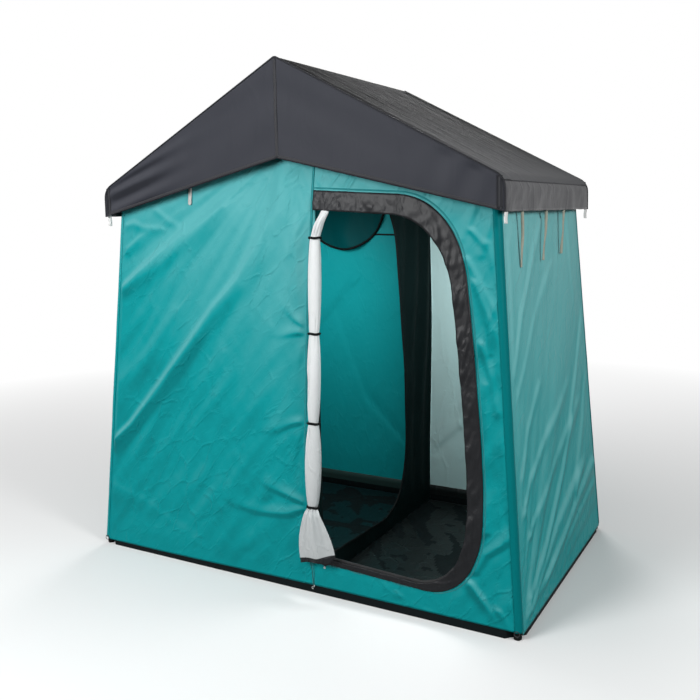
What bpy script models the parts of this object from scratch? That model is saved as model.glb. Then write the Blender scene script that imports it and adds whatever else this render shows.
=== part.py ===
"""Two-room sauna tent: teal walls on a plug-together tube frame, under a gabled charcoal fly.

Metres, +Z up. The front, with the doorway, faces -Y. The origin is on the floor at the middle of the base.
The walls are flat sheets that lean inwards: each is described by its place across and its height.
"""

import math

import bmesh
import bpy
from mathutils import Matrix, Vector

# Driving dimensions: the outside of the walls
BASE_WIDTH = 2.130
BASE_DEPTH = 1.292
WALL_HEIGHT = 1.596
WALL_TOP_WIDTH = 1.846
WALL_TOP_DEPTH = 1.106
HEM_HEIGHT = 0.034
SHEET = 0.002
GAP = 0.0003
CUT_OVERRUN = 0.050
MERGE_DISTANCE = 0.000001

# Driving dimensions: the fly, whose knee is the round bend above each side wall
RIDGE_HEIGHT = 2.217
FLY_DEPTH = 1.204
FLY_WIDTH = 1.924
KNEE_HALF_SPAN = 0.905
KNEE_HEIGHT = 1.690
KNEE_RADIUS = 0.050
GABLE_EDGE_HEIGHT = 1.821

# Driving dimensions: the frame
TUBE_RADIUS = 0.0095
TUBE_WALL = 0.0012
SOCKET_WALL = 0.0037
SOCKET_CLEARANCE = 0.0003
SOCKET_LENGTH = 0.060
SOCKET_STOP = 0.018
SLEEVE_WIDTH = 0.030
WEB_RADIUS = 0.008
LEG_JOINT_HEIGHT = 0.860
SPIGOT_LENGTH = 0.060
BOOT_RADIUS = 0.016
BOOT_HEIGHT = 0.042
BOOT_SOLE = 0.008
BOOT_SLACK = 0.003
NET_CLEARANCE = 0.002

# Driving dimensions: the floor and the partition
TUB_HEIGHT = 0.090
BOOT_CLEARANCE = 0.0015
PARTITION_X = 0.130
PARTITION_DOOR_MARGIN = 0.015
PARTITION_DOOR_WIDTH = 0.837
PARTITION_DOOR_BOTTOM = 0.080
PARTITION_DOOR_TOP = 1.780

# Driving dimensions: the doorway
SEAM_X = 0.125
DOOR_LEFT = 0.137
DOOR_RIGHT = 0.899
DOOR_BOTTOM = 0.122
DOOR_TOP = 1.692
FLAP_TOP_WIDTH = 0.080
FLAP_SIDE_WIDTH = 0.064
FLAP_SILL_WIDTH = 0.026
FLAP_LAP = 0.016
FLAP_SILL_LAP = 0.002
HINGE_STRIP = 0.008
ZIP_WIDTH = 0.012
ZIP_THICKNESS = 0.003
SLIDER_LENGTH = 0.014
SLIDER_GRIP = 0.005
SLIDER_WALL = 0.0022
SLIDER_REST_X = 0.208
PULL_WIDTH = 0.008
PULL_LENGTH = 0.056
PULL_THICKNESS = 0.0015
PULL_CLEARANCE = 0.0004

# Driving dimensions: the door, rolled up and tied
ROLL_TOP_HEIGHT = 1.598
ROLL_HEM_HEIGHT = 0.150
ROLL_X = 0.158
ROLL_NECK_HALF_WIDTH = 0.023
ROLL_SWELL_HALF_WIDTHS = (0.032, 0.033, 0.041)
ROLL_NECK_HALF_DEPTH = 0.0165
ROLL_SWELL_HALF_DEPTH = 0.0235
ROLL_GATHER_HALF_WIDTH = 0.024
ROLL_GATHER_HEIGHT = 0.060
ROLL_GATHER_LEAN = 0.040
ROLL_TIE_HEIGHTS = (1.500, 1.112, 0.740, 0.384)
ROLL_PLEATS = 6
ROLL_STEPS = 8
TIE_RADIUS = 0.0025
TIE_HALF_SPAN = 0.004
SKIRT_X = 0.190
SKIRT_HALF_WIDTH = 0.090
SKIRT_HALF_DEPTH = 0.026
SKIRT_CLEARANCE = 0.018

# How deep the rolled door's folds are, as shares of its half width, and how quickly it fills out
GATHER_FOLD = 0.12
NECK_FOLD = 0.18
SWELL_FOLD = 0.02
SKIRT_FOLD = 0.32
SWELL_FULLNESS = 0.8
SKIRT_FULLNESS = 0.9

# Driving dimensions: the window in the back wall
WINDOW_X = -0.350
WINDOW_TOP = 1.660
WINDOW_RADIUS = 0.262
WINDOW_LAP = 0.020
MESH_THICKNESS = 0.001

# Driving dimensions: webbing, tabs, ties, rings and the hook
LOOP_X = -0.500
LOOP_TOP = 1.717
LOOP_LENGTH = 0.074
LOOP_WIDTH = 0.012
LOOP_THICKNESS = 0.003
TAB_LENGTH = 0.056
TAB_WIDTH = 0.012
TAB_THICKNESS = 0.0015
TAB_DROP = 0.042
TAB_INSET = 0.012
TAB_CLEARANCE = 0.0015
TIE_CORD_RADIUS = 0.0045
HOOK_CORD_RADIUS = 0.00075
CORD_SPACING = 0.015
RING_RADIUS = 0.0105
RING_WIRE = 0.0015
RING_HEIGHT = 0.040
RING_INSET = 0.016
HOOK_X = 0.152
HOOK_TOP = 0.036
HOOK_RADIUS = 0.005
HOOK_WIRE = 0.0012
HOOK_HALF_TURNS = 1.25

# The doorway's outline as shares of its width and height, from its top left corner round to its bottom left one.
# A straight run has two points and a bend four, which are a cubic's own.
DOOR_OUTLINE_SHARES = (
    ((0.000, 1.000), (0.476, 0.986)),
    ((0.476, 0.986), (0.686, 0.984), (0.837, 0.906), (0.877, 0.787)),
    ((0.877, 0.787), (0.916, 0.661), (0.992, 0.368), (1.000, 0.226)),
    ((1.000, 0.226), (1.010, 0.094), (0.909, -0.014), (0.646, 0.000)),
    ((0.646, 0.000), (0.000, 0.014)),
)
DOOR_BEND_STEPS = 8

ROUND_SIDES = 12
FINE_SIDES = 16
KNEE_STEPS = 5
LOOP_END_STEPS = 4
CORD_RESOLUTION = 2

# The cords' routes: points chosen by hand, across, along and up. Three tie ribbons hang from the fly's right hem,
# and a thin cord hangs from the rolled door's hem to its hook.
SIDE_TIE_ROUTES = {
    "side_tie_front": (
        (0.9545, -0.384, 1.606), (0.9550, -0.384, 1.575), (0.9565, -0.383, 1.535), (0.9575, -0.385, 1.495),
        (0.9565, -0.387, 1.455), (0.9550, -0.384, 1.420), (0.9545, -0.383, 1.385),
    ),
    "side_tie_middle": (
        (0.9545, -0.066, 1.606), (0.9550, -0.068, 1.575), (0.9565, -0.072, 1.535), (0.9575, -0.080, 1.500),
        (0.9560, -0.088, 1.465), (0.9550, -0.092, 1.430), (0.9545, -0.093, 1.395),
    ),
    "side_tie_back": (
        (0.9545, 0.206, 1.606), (0.9550, 0.203, 1.575), (0.9560, 0.196, 1.538), (0.9575, 0.190, 1.503),
        (0.9565, 0.185, 1.468), (0.9550, 0.181, 1.438), (0.9545, 0.178, 1.408),
    ),
}
HOOK_CORD_ROUTE = (
    (0.1520, -0.6670, 0.1490), (0.1522, -0.6640, 0.1300), (0.1526, -0.6575, 0.1050), (0.1521, -0.6505, 0.0800),
    (0.1519, -0.6470, 0.0600), (0.1520, -0.6457, 0.0450), (0.1520, -0.6456, 0.0378),
)

# Sizes that follow
CONNECTOR_RADIUS = TUBE_RADIUS + SOCKET_CLEARANCE + SOCKET_WALL
BORE_RADIUS = TUBE_RADIUS + SOCKET_CLEARANCE
SPIGOT_RADIUS = TUBE_RADIUS - TUBE_WALL - SOCKET_CLEARANCE
LEG_INSET = BOOT_RADIUS + SHEET + BOOT_SLACK
LEAN_X = (BASE_WIDTH - WALL_TOP_WIDTH) / 2 / WALL_HEIGHT
LEAN_Y = (BASE_DEPTH - WALL_TOP_DEPTH) / 2 / WALL_HEIGHT
KNEE_REACH = math.hypot(KNEE_HALF_SPAN, RIDGE_HEIGHT - KNEE_HEIGHT)
PITCH = math.atan2(RIDGE_HEIGHT - KNEE_HEIGHT, KNEE_HALF_SPAN) - math.asin(KNEE_RADIUS / KNEE_REACH)
SLOPE = math.tan(PITCH)


def clear_scene():
    for thing in list(bpy.data.objects):
        bpy.data.objects.remove(thing, do_unlink=True)


def half_width(height):
    """How far the outside of a side wall stands from the middle at a height."""
    return BASE_WIDTH / 2 - LEAN_X * height


def half_depth(height):
    """How far the outside of the front or back wall stands from the middle at a height."""
    return BASE_DEPTH / 2 - LEAN_Y * height


def below_fly(offset, across):
    """The height of a line that runs under the fly's slope, offset square to it, at a place across."""
    return RIDGE_HEIGHT - offset / math.cos(PITCH) - SLOPE * abs(across)


# The tubes' lines lie where their sleeves just clear the fly, and the net roof just clears the sleeves.
RAFTER_OFFSET = SHEET + GAP + CONNECTOR_RADIUS
NET_OFFSET = RAFTER_OFFSET + CONNECTOR_RADIUS + GAP
NET_TOP = below_fly(NET_OFFSET, 0)
WALL_TOP = (NET_TOP - SLOPE * BASE_WIDTH / 2) / (1 - SLOPE * LEAN_X)
PEAK_HEIGHT = below_fly(RAFTER_OFFSET, 0)
EAVE_HEIGHT = (PEAK_HEIGHT - SLOPE * (BASE_WIDTH / 2 - LEG_INSET)) / (1 - SLOPE * LEAN_X)
EAVE_TUBE_REACH = (KNEE_RADIUS - SHEET - GAP - CONNECTOR_RADIUS) * math.sqrt(0.5)
EAVE_TUBE_X = KNEE_HALF_SPAN + EAVE_TUBE_REACH
EAVE_TUBE_Z = KNEE_HEIGHT + EAVE_TUBE_REACH
TUBE_HALF_RUN = FLY_DEPTH / 2 - SHEET - GAP


def leg_point(side, end, height):
    """A point on a corner leg's line. side is -1 left or 1 right, end is -1 front or 1 back."""
    return Vector((side * (half_width(height) - LEG_INSET), end * (half_depth(height) - LEG_INSET), height))


def peak_point(end):
    return Vector((0, end * (half_depth(PEAK_HEIGHT) - LEG_INSET), PEAK_HEIGHT))


def on_front(across, height, out=0.0):
    """A point over the front wall's outer face, out along its outward normal."""
    normal = Vector((0, -1, LEAN_Y)).normalized()
    return Vector((across, -half_depth(height), height)) + normal * out


def on_back(across, height, out=0.0):
    normal = Vector((0, 1, LEAN_Y)).normalized()
    return Vector((across, half_depth(height), height)) + normal * out


def on_side(side, along, height, out=0.0):
    normal = Vector((side, 0, LEAN_X)).normalized()
    return Vector((side * half_width(height), along, height)) + normal * out


def bend(points, steps):
    """Points along a straight run or a cubic, without the first."""
    if len(points) == 2:
        return [points[1]]
    made = []
    for step in range(1, steps + 1):
        t = step / steps
        weights = ((1 - t) ** 3, 3 * t * (1 - t) ** 2, 3 * t * t * (1 - t), t ** 3)
        made.append(tuple(sum(w * p[axis] for w, p in zip(weights, points)) for axis in (0, 1)))
    return made


def door_outline(left, right, bottom, top):
    """The doorway's outline between those sides, as (across, height), open along its straight left side."""
    shares = [DOOR_OUTLINE_SHARES[0][0]]
    for run in DOOR_OUTLINE_SHARES:
        shares += bend(run, DOOR_BEND_STEPS)
    return [(left + u * (right - left), bottom + v * (top - bottom)) for u, v in shares]


def material_for(name, colour, roughness, metallic):
    finish = bpy.data.materials.new(name)
    finish.use_nodes = True
    shader = finish.node_tree.nodes["Principled BSDF"]
    shader.inputs["Base Color"].default_value = (*colour, 1)
    shader.inputs["Roughness"].default_value = roughness
    shader.inputs["Metallic"].default_value = metallic
    return finish


FINISHES = {
    "teal_cloth": ((0.012, 0.300, 0.310), 0.55, 0.0),
    "charcoal_cloth": ((0.055, 0.058, 0.070), 0.60, 0.0),
    "white_cloth": ((0.700, 0.720, 0.720), 0.60, 0.0),
    "black_cloth": ((0.008, 0.012, 0.012), 0.65, 0.0),
    "groundsheet": ((0.010, 0.014, 0.015), 0.35, 0.0),
    "net": ((0.020, 0.022, 0.022), 0.80, 0.0),
    "tube_steel": ((0.120, 0.125, 0.130), 0.40, 0.8),
    "connector_plastic": ((0.015, 0.015, 0.016), 0.45, 0.0),
    "boot_rubber": ((0.010, 0.010, 0.010), 0.75, 0.0),
    "webbing": ((0.450, 0.440, 0.400), 0.70, 0.0),
    "white_webbing": ((0.800, 0.800, 0.790), 0.70, 0.0),
    "zip_coil": ((0.020, 0.020, 0.022), 0.50, 0.0),
    "zinc": ((0.550, 0.560, 0.570), 0.30, 1.0),
}


def add_object(name, mesh_data, finish):
    piece = bpy.data.objects.new(name, mesh_data)
    bpy.context.scene.collection.objects.link(piece)
    mesh_data.materials.append(material_for(name, *FINISHES[finish]))
    return piece


def add_mesh(name, bm, finish, origin=None, smooth_angle=None):
    """Ends a bmesh, whose points are where they lie in the tent, as an object with its origin at that point."""
    bmesh.ops.recalc_face_normals(bm, faces=bm.faces)
    mesh = bpy.data.meshes.new(name)
    if origin is not None:
        bmesh.ops.translate(bm, verts=bm.verts, vec=-Vector(origin))
    bm.to_mesh(mesh)
    bm.free()
    if smooth_angle is not None:
        mesh.shade_smooth()
        mesh.set_sharp_from_angle(angle=smooth_angle)
    piece = add_object(name, mesh, finish)
    if origin is not None:
        piece.location = origin
    return piece


SMOOTH_ANGLE = math.radians(35)


def aim(start, end):
    """The placing of a piece modelled up its own Z axis: from start, towards end."""
    start = Vector(start)
    turn = (Vector(end) - start).to_track_quat("Z", "Y")
    return Matrix.Translation(start) @ turn.to_matrix().to_4x4()


def rod(bm, start, end, radius, sides=ROUND_SIDES):
    """Adds a plain round bar."""
    start, end = Vector(start), Vector(end)
    placing = aim(start, end) @ Matrix.Translation((0, 0, (end - start).length / 2))
    bmesh.ops.create_cone(
        bm, cap_ends=True, segments=sides, radius1=radius, radius2=radius, depth=(end - start).length,
        matrix=placing,
    )


def turn_profile(bm, profile, sides=ROUND_SIDES):
    """Turns a closed profile of (radius, height) round the Z axis."""
    ring = [bm.verts.new((radius, 0, height)) for radius, height in profile]
    edges = [bm.edges.new((ring[i - 1], ring[i])) for i in range(len(ring))]
    bmesh.ops.spin(
        bm, geom=ring + edges, axis=(0, 0, 1), cent=(0, 0, 0), angle=math.tau, steps=sides, use_merge=True,
    )
    bmesh.ops.remove_doubles(bm, verts=bm.verts, dist=MERGE_DISTANCE)


def plate(bm, outline, depth):
    """Adds a flat sheet: the outline's face, given its thickness by the vector depth."""
    face = bm.faces.new([bm.verts.new(point) for point in outline])
    grown = bmesh.ops.extrude_face_region(bm, geom=[face], use_keep_orig=True)
    moved = [part for part in grown["geom"] if isinstance(part, bmesh.types.BMVert)]
    bmesh.ops.translate(bm, verts=moved, vec=depth)


def cut(piece, cutter, itself=False):
    """Cuts a hidden solid out of a piece."""
    cutter.hide_render = True
    cutter.display_type = "WIRE"
    slot = piece.modifiers.new(f"cut_{cutter.name}", "BOOLEAN")
    slot.operation = "DIFFERENCE"
    slot.solver = "EXACT"
    slot.use_self = itself
    slot.object = cutter


def add_tube(name, start, end, spigot=0.0):
    """A hollow pole of the frame. A spigot is the swaged end that plugs into the next pole."""
    length = (Vector(end) - Vector(start)).length
    outer, inner = TUBE_RADIUS, TUBE_RADIUS - TUBE_WALL
    profile = [(inner, 0), (outer, 0), (outer, length)]
    if spigot:
        neck = SPIGOT_RADIUS - TUBE_WALL
        profile += [(SPIGOT_RADIUS, length), (SPIGOT_RADIUS, length + spigot), (neck, length + spigot)]
        profile += [(neck, length - TUBE_WALL), (inner, length - TUBE_WALL)]
    else:
        profile += [(inner, length)]
    bm = bmesh.new()
    turn_profile(bm, profile)
    tube = add_mesh(name, bm, "tube_steel", smooth_angle=SMOOTH_ANGLE)
    tube.matrix_world = aim(start, end)
    return tube


def corner_names():
    """The four corners: their name, side and end."""
    for end, end_name in ((-1, "front"), (1, "back")):
        for side, side_name in ((-1, "left"), (1, "right")):
            yield f"{end_name}_{side_name}", side, end


def build_boot(corner, side, end):
    """A rubber boot, flat on the floor, with a slanted bore for the leg."""
    centre = leg_point(side, end, BOOT_HEIGHT / 2)
    foot = Vector((centre.x, centre.y, 0))
    bm = bmesh.new()
    rod(bm, foot, foot + Vector((0, 0, BOOT_HEIGHT)), BOOT_RADIUS, FINE_SIDES)
    boot = add_mesh(f"boot_{corner}", bm, "boot_rubber", foot, SMOOTH_ANGLE)
    bm = bmesh.new()
    rod(bm, leg_point(side, end, BOOT_SOLE), leg_point(side, end, BOOT_HEIGHT + CUT_OVERRUN), BORE_RADIUS)
    cut(boot, add_mesh(f"bore_for_leg_{corner}", bm, "boot_rubber"))


def build_leg(corner, side, end):
    """Two poles, the lower one's swaged end inside the upper one."""
    eave = leg_point(side, end, EAVE_HEIGHT)
    foot = leg_point(side, end, BOOT_SOLE)
    up = (eave - foot).normalized()
    joint = leg_point(side, end, LEG_JOINT_HEIGHT)
    add_tube(f"lower_leg_{corner}", foot + up * GAP, joint, SPIGOT_LENGTH)
    add_tube(f"upper_leg_{corner}", joint + up * GAP, eave - up * (SOCKET_STOP + GAP))


def build_eave_elbow(corner, side, end):
    """The moulded elbow that joins a leg and a rafter and carries the eave tube in a sleeve."""
    eave = leg_point(side, end, EAVE_HEIGHT)
    down = (leg_point(side, end, 0) - eave).normalized()
    inward = (peak_point(end) - eave).normalized()
    sleeve = Vector((side * EAVE_TUBE_X, eave.y, EAVE_TUBE_Z))
    half_sleeve = Vector((0, SLEEVE_WIDTH / 2, 0))
    bm = bmesh.new()
    rod(bm, eave, eave + down * SOCKET_LENGTH, CONNECTOR_RADIUS)
    rod(bm, eave, eave + inward * SOCKET_LENGTH, CONNECTOR_RADIUS)
    bmesh.ops.create_uvsphere(
        bm, u_segments=ROUND_SIDES, v_segments=ROUND_SIDES // 2, radius=CONNECTOR_RADIUS,
        matrix=Matrix.Translation(eave),
    )
    rod(bm, eave, sleeve, WEB_RADIUS)
    rod(bm, sleeve - half_sleeve, sleeve + half_sleeve, CONNECTOR_RADIUS)
    elbow = add_mesh(f"eave_elbow_{corner}", bm, "connector_plastic", smooth_angle=SMOOTH_ANGLE)
    bm = bmesh.new()
    for way in (down, inward):
        rod(bm, eave + way * SOCKET_STOP, eave + way * (SOCKET_LENGTH + CUT_OVERRUN), BORE_RADIUS)
    overrun = Vector((0, CUT_OVERRUN, 0))
    rod(bm, sleeve - half_sleeve - overrun, sleeve + half_sleeve + overrun, BORE_RADIUS)
    cut(elbow, add_mesh(f"bores_for_elbow_{corner}", bm, "connector_plastic"), itself=True)


def build_rafter(corner, side, end):
    eave = leg_point(side, end, EAVE_HEIGHT)
    peak = peak_point(end)
    up = (peak - eave).normalized()
    stop = SOCKET_STOP + GAP
    add_tube(f"rafter_{corner}", eave + up * stop, peak - up * stop)


def build_peak_connector(name, end):
    """The moulded piece that joins two rafters under the ridge tube's sleeve."""
    peak = peak_point(end)
    half_sleeve = Vector((0, SLEEVE_WIDTH / 2, 0))
    overrun = Vector((0, CUT_OVERRUN, 0))
    bm, bores = bmesh.new(), bmesh.new()
    rod(bm, peak - half_sleeve, peak + half_sleeve, CONNECTOR_RADIUS)
    rod(bores, peak - half_sleeve - overrun, peak + half_sleeve + overrun, BORE_RADIUS)
    for side in (-1, 1):
        way = (leg_point(side, end, EAVE_HEIGHT) - peak).normalized()
        rod(bm, peak, peak + way * SOCKET_LENGTH, CONNECTOR_RADIUS)
        rod(bores, peak + way * SOCKET_STOP, peak + way * (SOCKET_LENGTH + CUT_OVERRUN), BORE_RADIUS)
    connector = add_mesh(f"peak_connector_{name}", bm, "connector_plastic", smooth_angle=SMOOTH_ANGLE)
    cut(connector, add_mesh(f"bores_for_peak_{name}", bores, "connector_plastic"), itself=True)


def build_frame():
    for corner, side, end in corner_names():
        build_boot(corner, side, end)
        build_leg(corner, side, end)
        build_eave_elbow(corner, side, end)
        build_rafter(corner, side, end)
    build_peak_connector("front", -1)
    build_peak_connector("back", 1)
    run = Vector((0, TUBE_HALF_RUN, 0))
    ridge = Vector((0, 0, PEAK_HEIGHT))
    add_tube("ridge_tube", ridge - run, ridge + run)
    for side, side_name in ((-1, "left"), (1, "right")):
        eave = Vector((side * EAVE_TUBE_X, 0, EAVE_TUBE_Z))
        add_tube(f"eave_tube_{side_name}", eave - run, eave + run)


def net_height(across):
    return NET_TOP - SLOPE * abs(across)


def gable_panel(place, left, right):
    """A front or back panel between two places across, from the hem up to the net roof's line.

    None stands for the side wall's own edge.
    """
    bottom = [half_width(HEM_HEIGHT) if edge is None else edge for edge in (left, right)]
    top = [half_width(WALL_TOP) if edge is None else edge for edge in (left, right)]
    if left is None:
        bottom[0], top[0] = -bottom[0], -top[0]
    outline = [(bottom[0], HEM_HEIGHT), (bottom[1], HEM_HEIGHT), (top[1], net_height(top[1]))]
    if top[0] < 0 < top[1]:
        outline.append((0, net_height(0)))
    outline.append((top[0], net_height(top[0])))
    bm = bmesh.new()
    plate(bm, [place(x, z) for x, z in outline], place(0, 0, -SHEET) - place(0, 0))
    return bm


def door_hole():
    """The sides of the hole in the front wall: left, right, bottom, top. The flap laps over its edge."""
    return (
        DOOR_LEFT + HINGE_STRIP,
        DOOR_RIGHT - FLAP_SIDE_WIDTH + FLAP_LAP,
        DOOR_BOTTOM + FLAP_SILL_WIDTH - FLAP_SILL_LAP,
        DOOR_TOP - FLAP_TOP_WIDTH + FLAP_LAP,
    )


def build_front_walls():
    seam = GAP / 2
    add_mesh("front_wall_left", gable_panel(on_front, None, SEAM_X - seam), "teal_cloth")
    right = add_mesh("front_wall_right", gable_panel(on_front, SEAM_X + seam, None), "teal_cloth")
    bm = bmesh.new()
    outline = [on_front(x, z, CUT_OVERRUN) for x, z in door_outline(*door_hole())]
    plate(bm, outline, on_front(0, 0, -CUT_OVERRUN) - on_front(0, 0, CUT_OVERRUN))
    cut(right, add_mesh("hole_for_door", bm, "teal_cloth"))


def half_round(radius):
    """The window's outline, straight along its top and round below, as (across, height)."""
    steps = 2 * ROUND_SIDES
    for step in range(steps + 1):
        turn = math.pi * step / steps
        yield WINDOW_X - radius * math.cos(turn), WINDOW_TOP - radius * math.sin(turn)


def build_back_walls():
    seam = GAP / 2
    left = add_mesh("back_wall_left", gable_panel(on_back, None, PARTITION_X - seam), "teal_cloth")
    add_mesh("back_wall_right", gable_panel(on_back, PARTITION_X + seam, None), "white_cloth")
    hole = WINDOW_RADIUS - WINDOW_LAP
    bm = bmesh.new()
    outline = [on_back(x, z, CUT_OVERRUN) for x, z in half_round(hole)]
    plate(bm, outline, on_back(0, 0, -CUT_OVERRUN) - on_back(0, 0, CUT_OVERRUN))
    cut(left, add_mesh("hole_for_window", bm, "teal_cloth"))
    bm = bmesh.new()
    outline = []
    for x, z in half_round(hole - GAP):
        outline.append(on_back(x, min(z, WINDOW_TOP - GAP), -MESH_THICKNESS / 2))
    plate(bm, outline, on_back(0, 0, -MESH_THICKNESS) - on_back(0, 0))
    add_mesh("window_mesh", bm, "net")


def build_window_cover():
    """The half-round cover inside the window, hinged along its top edge."""
    bm = bmesh.new()
    plate(
        bm, [on_back(x, z, -SHEET - GAP) for x, z in half_round(WINDOW_RADIUS)],
        on_back(0, 0, -SHEET) - on_back(0, 0),
    )
    hinge = on_back(WINDOW_X, WINDOW_TOP, -SHEET - GAP - SHEET / 2)
    add_mesh("window_cover", bm, "teal_cloth", hinge)


def build_side_wall(name, side):
    outline = []
    for end, height in ((-1, HEM_HEIGHT), (1, HEM_HEIGHT), (1, WALL_TOP), (-1, WALL_TOP)):
        reach = half_depth(height) - SHEET / math.cos(math.atan(LEAN_Y)) - 2 * GAP
        outline.append(on_side(side, end * reach, height))
    bm = bmesh.new()
    plate(bm, outline, on_side(side, 0, 0, -SHEET) - on_side(side, 0, 0))
    add_mesh(name, bm, "teal_cloth")


def tub_loop(height, inset):
    """The groundsheet's outline at a height: the walls' own rectangle, with its corners cut clear of the boots."""
    x = half_width(height) - SHEET - 2 * GAP - inset
    y = half_depth(height) - SHEET - 2 * GAP - inset
    boot = leg_point(1, 1, BOOT_HEIGHT / 2)
    reach = boot.x + boot.y - math.sqrt(2) * (BOOT_RADIUS + BOOT_CLEARANCE + inset)
    points = []
    for turn, (side, end) in enumerate(((1, -1), (1, 1), (-1, 1), (-1, -1))):
        pair = [(side * (reach - y), end * y), (side * x, end * (reach - x))]
        points += pair if turn % 2 == 0 else pair[::-1]
    return [Vector((px, py, height)) for px, py in points]


def build_groundsheet():
    """A floor with raised edges: its outer, rim and inner loops are joined by walls."""
    bm = bmesh.new()
    loops = []
    for height, inset in ((0, 0), (TUB_HEIGHT, 0), (TUB_HEIGHT, SHEET), (SHEET, SHEET)):
        loops.append([bm.verts.new(point) for point in tub_loop(height, inset)])
    for lower, upper in zip(loops, loops[1:]):
        for i, corner in enumerate(lower):
            after = (i + 1) % len(lower)
            bm.faces.new((corner, lower[after], upper[after], upper[i]))
    bm.faces.new(loops[0])
    bm.faces.new(loops[-1])
    add_mesh("groundsheet", bm, "groundsheet")


def build_net_roof():
    """The net that closes the rooms under the rafters, notched where the legs come through."""
    bm = bmesh.new()
    edge = half_width(WALL_TOP) - SHEET / math.cos(math.atan(LEAN_X)) - 2 * GAP
    rows = []
    for across in (-edge, 0, edge):
        height = net_height(across)
        reach = half_depth(height) - SHEET / math.cos(math.atan(LEAN_Y)) - 2 * GAP
        rows.append([bm.verts.new((across, end * reach, height)) for end in (-1, 1)])
    faces = [bm.faces.new((a[0], b[0], b[1], a[1])) for a, b in zip(rows, rows[1:])]
    grown = bmesh.ops.extrude_face_region(bm, geom=faces, use_keep_orig=True)
    moved = [part for part in grown["geom"] if isinstance(part, bmesh.types.BMVert)]
    bmesh.ops.translate(bm, verts=moved, vec=(0, 0, -SHEET / math.cos(PITCH)))
    net = add_mesh("net_roof", bm, "net")
    for corner, side, end in corner_names():
        bm = bmesh.new()
        rod(
            bm, leg_point(side, end, WALL_HEIGHT), leg_point(side, end, EAVE_HEIGHT + CUT_OVERRUN),
            CONNECTOR_RADIUS + NET_CLEARANCE,
        )
        cut(net, add_mesh(f"notch_for_leg_{corner}", bm, "net"))


def build_partition():
    """The dividing sheet, with its own way through."""
    top = net_height(PARTITION_X + SHEET) - SHEET / math.cos(PITCH) - 2 * GAP
    bottom = SHEET + GAP
    outline = []
    for end, height in ((-1, bottom), (1, bottom), (1, top), (-1, top)):
        reach = half_depth(height) - 2 * SHEET - 4 * GAP
        outline.append(Vector((PARTITION_X - SHEET / 2, end * reach, height)))
    bm = bmesh.new()
    plate(bm, outline, Vector((SHEET, 0, 0)))
    partition = add_mesh("partition", bm, "black_cloth")
    bm = bmesh.new()
    front = PARTITION_DOOR_MARGIN - half_depth(PARTITION_DOOR_TOP)
    hole = door_outline(
        front, front + PARTITION_DOOR_WIDTH, PARTITION_DOOR_BOTTOM, PARTITION_DOOR_TOP,
    )
    plate(
        bm, [Vector((PARTITION_X - CUT_OVERRUN, y, z)) for y, z in hole], Vector((2 * CUT_OVERRUN, 0, 0)),
    )
    cut(partition, add_mesh("hole_for_partition_door", bm, "black_cloth"))


def fly_profile(inset):
    """The fly's section from its left hem over the ridge to its right hem, drawn in by the inset."""
    right = []
    for step in range(KNEE_STEPS + 1):
        turn = (math.pi / 2 - PITCH) * step / KNEE_STEPS
        radius = KNEE_RADIUS - inset
        right.append((KNEE_HALF_SPAN + radius * math.cos(turn), KNEE_HEIGHT + radius * math.sin(turn)))
    left = [(-x, z) for x, z in right]
    return left + [(0, below_fly(inset, 0))] + right[::-1]


def build_fly():
    """The gabled fly: a roof prism with its inside cut out, and gables whose lower edge rises to the middle."""
    hem, half = WALL_HEIGHT, FLY_DEPTH / 2
    section = fly_profile(0) + [(FLY_WIDTH / 2, hem), (0, GABLE_EDGE_HEIGHT), (-FLY_WIDTH / 2, hem)]
    bm = bmesh.new()
    plate(bm, [Vector((x, -half, z)) for x, z in section], Vector((0, FLY_DEPTH, 0)))
    fly = add_mesh("roof_fly", bm, "charcoal_cloth")
    hollow = half - SHEET
    below = hem - CUT_OVERRUN
    section = fly_profile(SHEET) + [
        (FLY_WIDTH / 2 - SHEET, hem), (FLY_WIDTH / 2 - SHEET, below),
        (-FLY_WIDTH / 2 + SHEET, below), (-FLY_WIDTH / 2 + SHEET, hem),
    ]
    bm = bmesh.new()
    plate(bm, [Vector((x, -hollow, z)) for x, z in section], Vector((0, 2 * hollow, 0)))
    cut(fly, add_mesh("hollow_of_fly", bm, "charcoal_cloth"))


def build_fly_tabs():
    """White tabs that hang inside the fly's side hem at its four corners."""
    for corner, side, end in corner_names():
        x = side * (FLY_WIDTH / 2 - SHEET - GAP - TAB_CLEARANCE - TAB_THICKNESS)
        y = end * (FLY_DEPTH / 2 - SHEET - TAB_INSET)
        bottom = WALL_HEIGHT - TAB_DROP
        outline = [
            Vector((x, y, bottom)), Vector((x, y - end * TAB_WIDTH, bottom)),
            Vector((x, y - end * TAB_WIDTH, bottom + TAB_LENGTH)), Vector((x, y, bottom + TAB_LENGTH)),
        ]
        bm = bmesh.new()
        plate(bm, outline, Vector((side * TAB_THICKNESS, 0, 0)))
        add_mesh(f"fly_tab_{corner}", bm, "white_webbing", outline[3])


def flap_sides():
    """The storm flap's inner edge: left, right, bottom, top."""
    return (
        DOOR_LEFT, DOOR_RIGHT - FLAP_SIDE_WIDTH, DOOR_BOTTOM + FLAP_SILL_WIDTH, DOOR_TOP - FLAP_TOP_WIDTH,
    )


def build_storm_flap():
    """The charcoal flap round the doorway, sewn along its outer edge over the zip."""
    outer = door_outline(DOOR_LEFT, DOOR_RIGHT, DOOR_BOTTOM, DOOR_TOP)
    inner = door_outline(*flap_sides())
    bm = bmesh.new()
    plate(
        bm, [on_front(x, z, GAP) for x, z in outer + inner[::-1]], on_front(0, 0, SHEET) - on_front(0, 0),
    )
    add_mesh("door_storm_flap", bm, "charcoal_cloth")


def zip_edge(inset):
    """A line round the doorway's zip, drawn in from the edge of the hole."""
    left, right, bottom, top = door_hole()
    return door_outline(left + GAP, right - inset, bottom + inset, top - inset)


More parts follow.
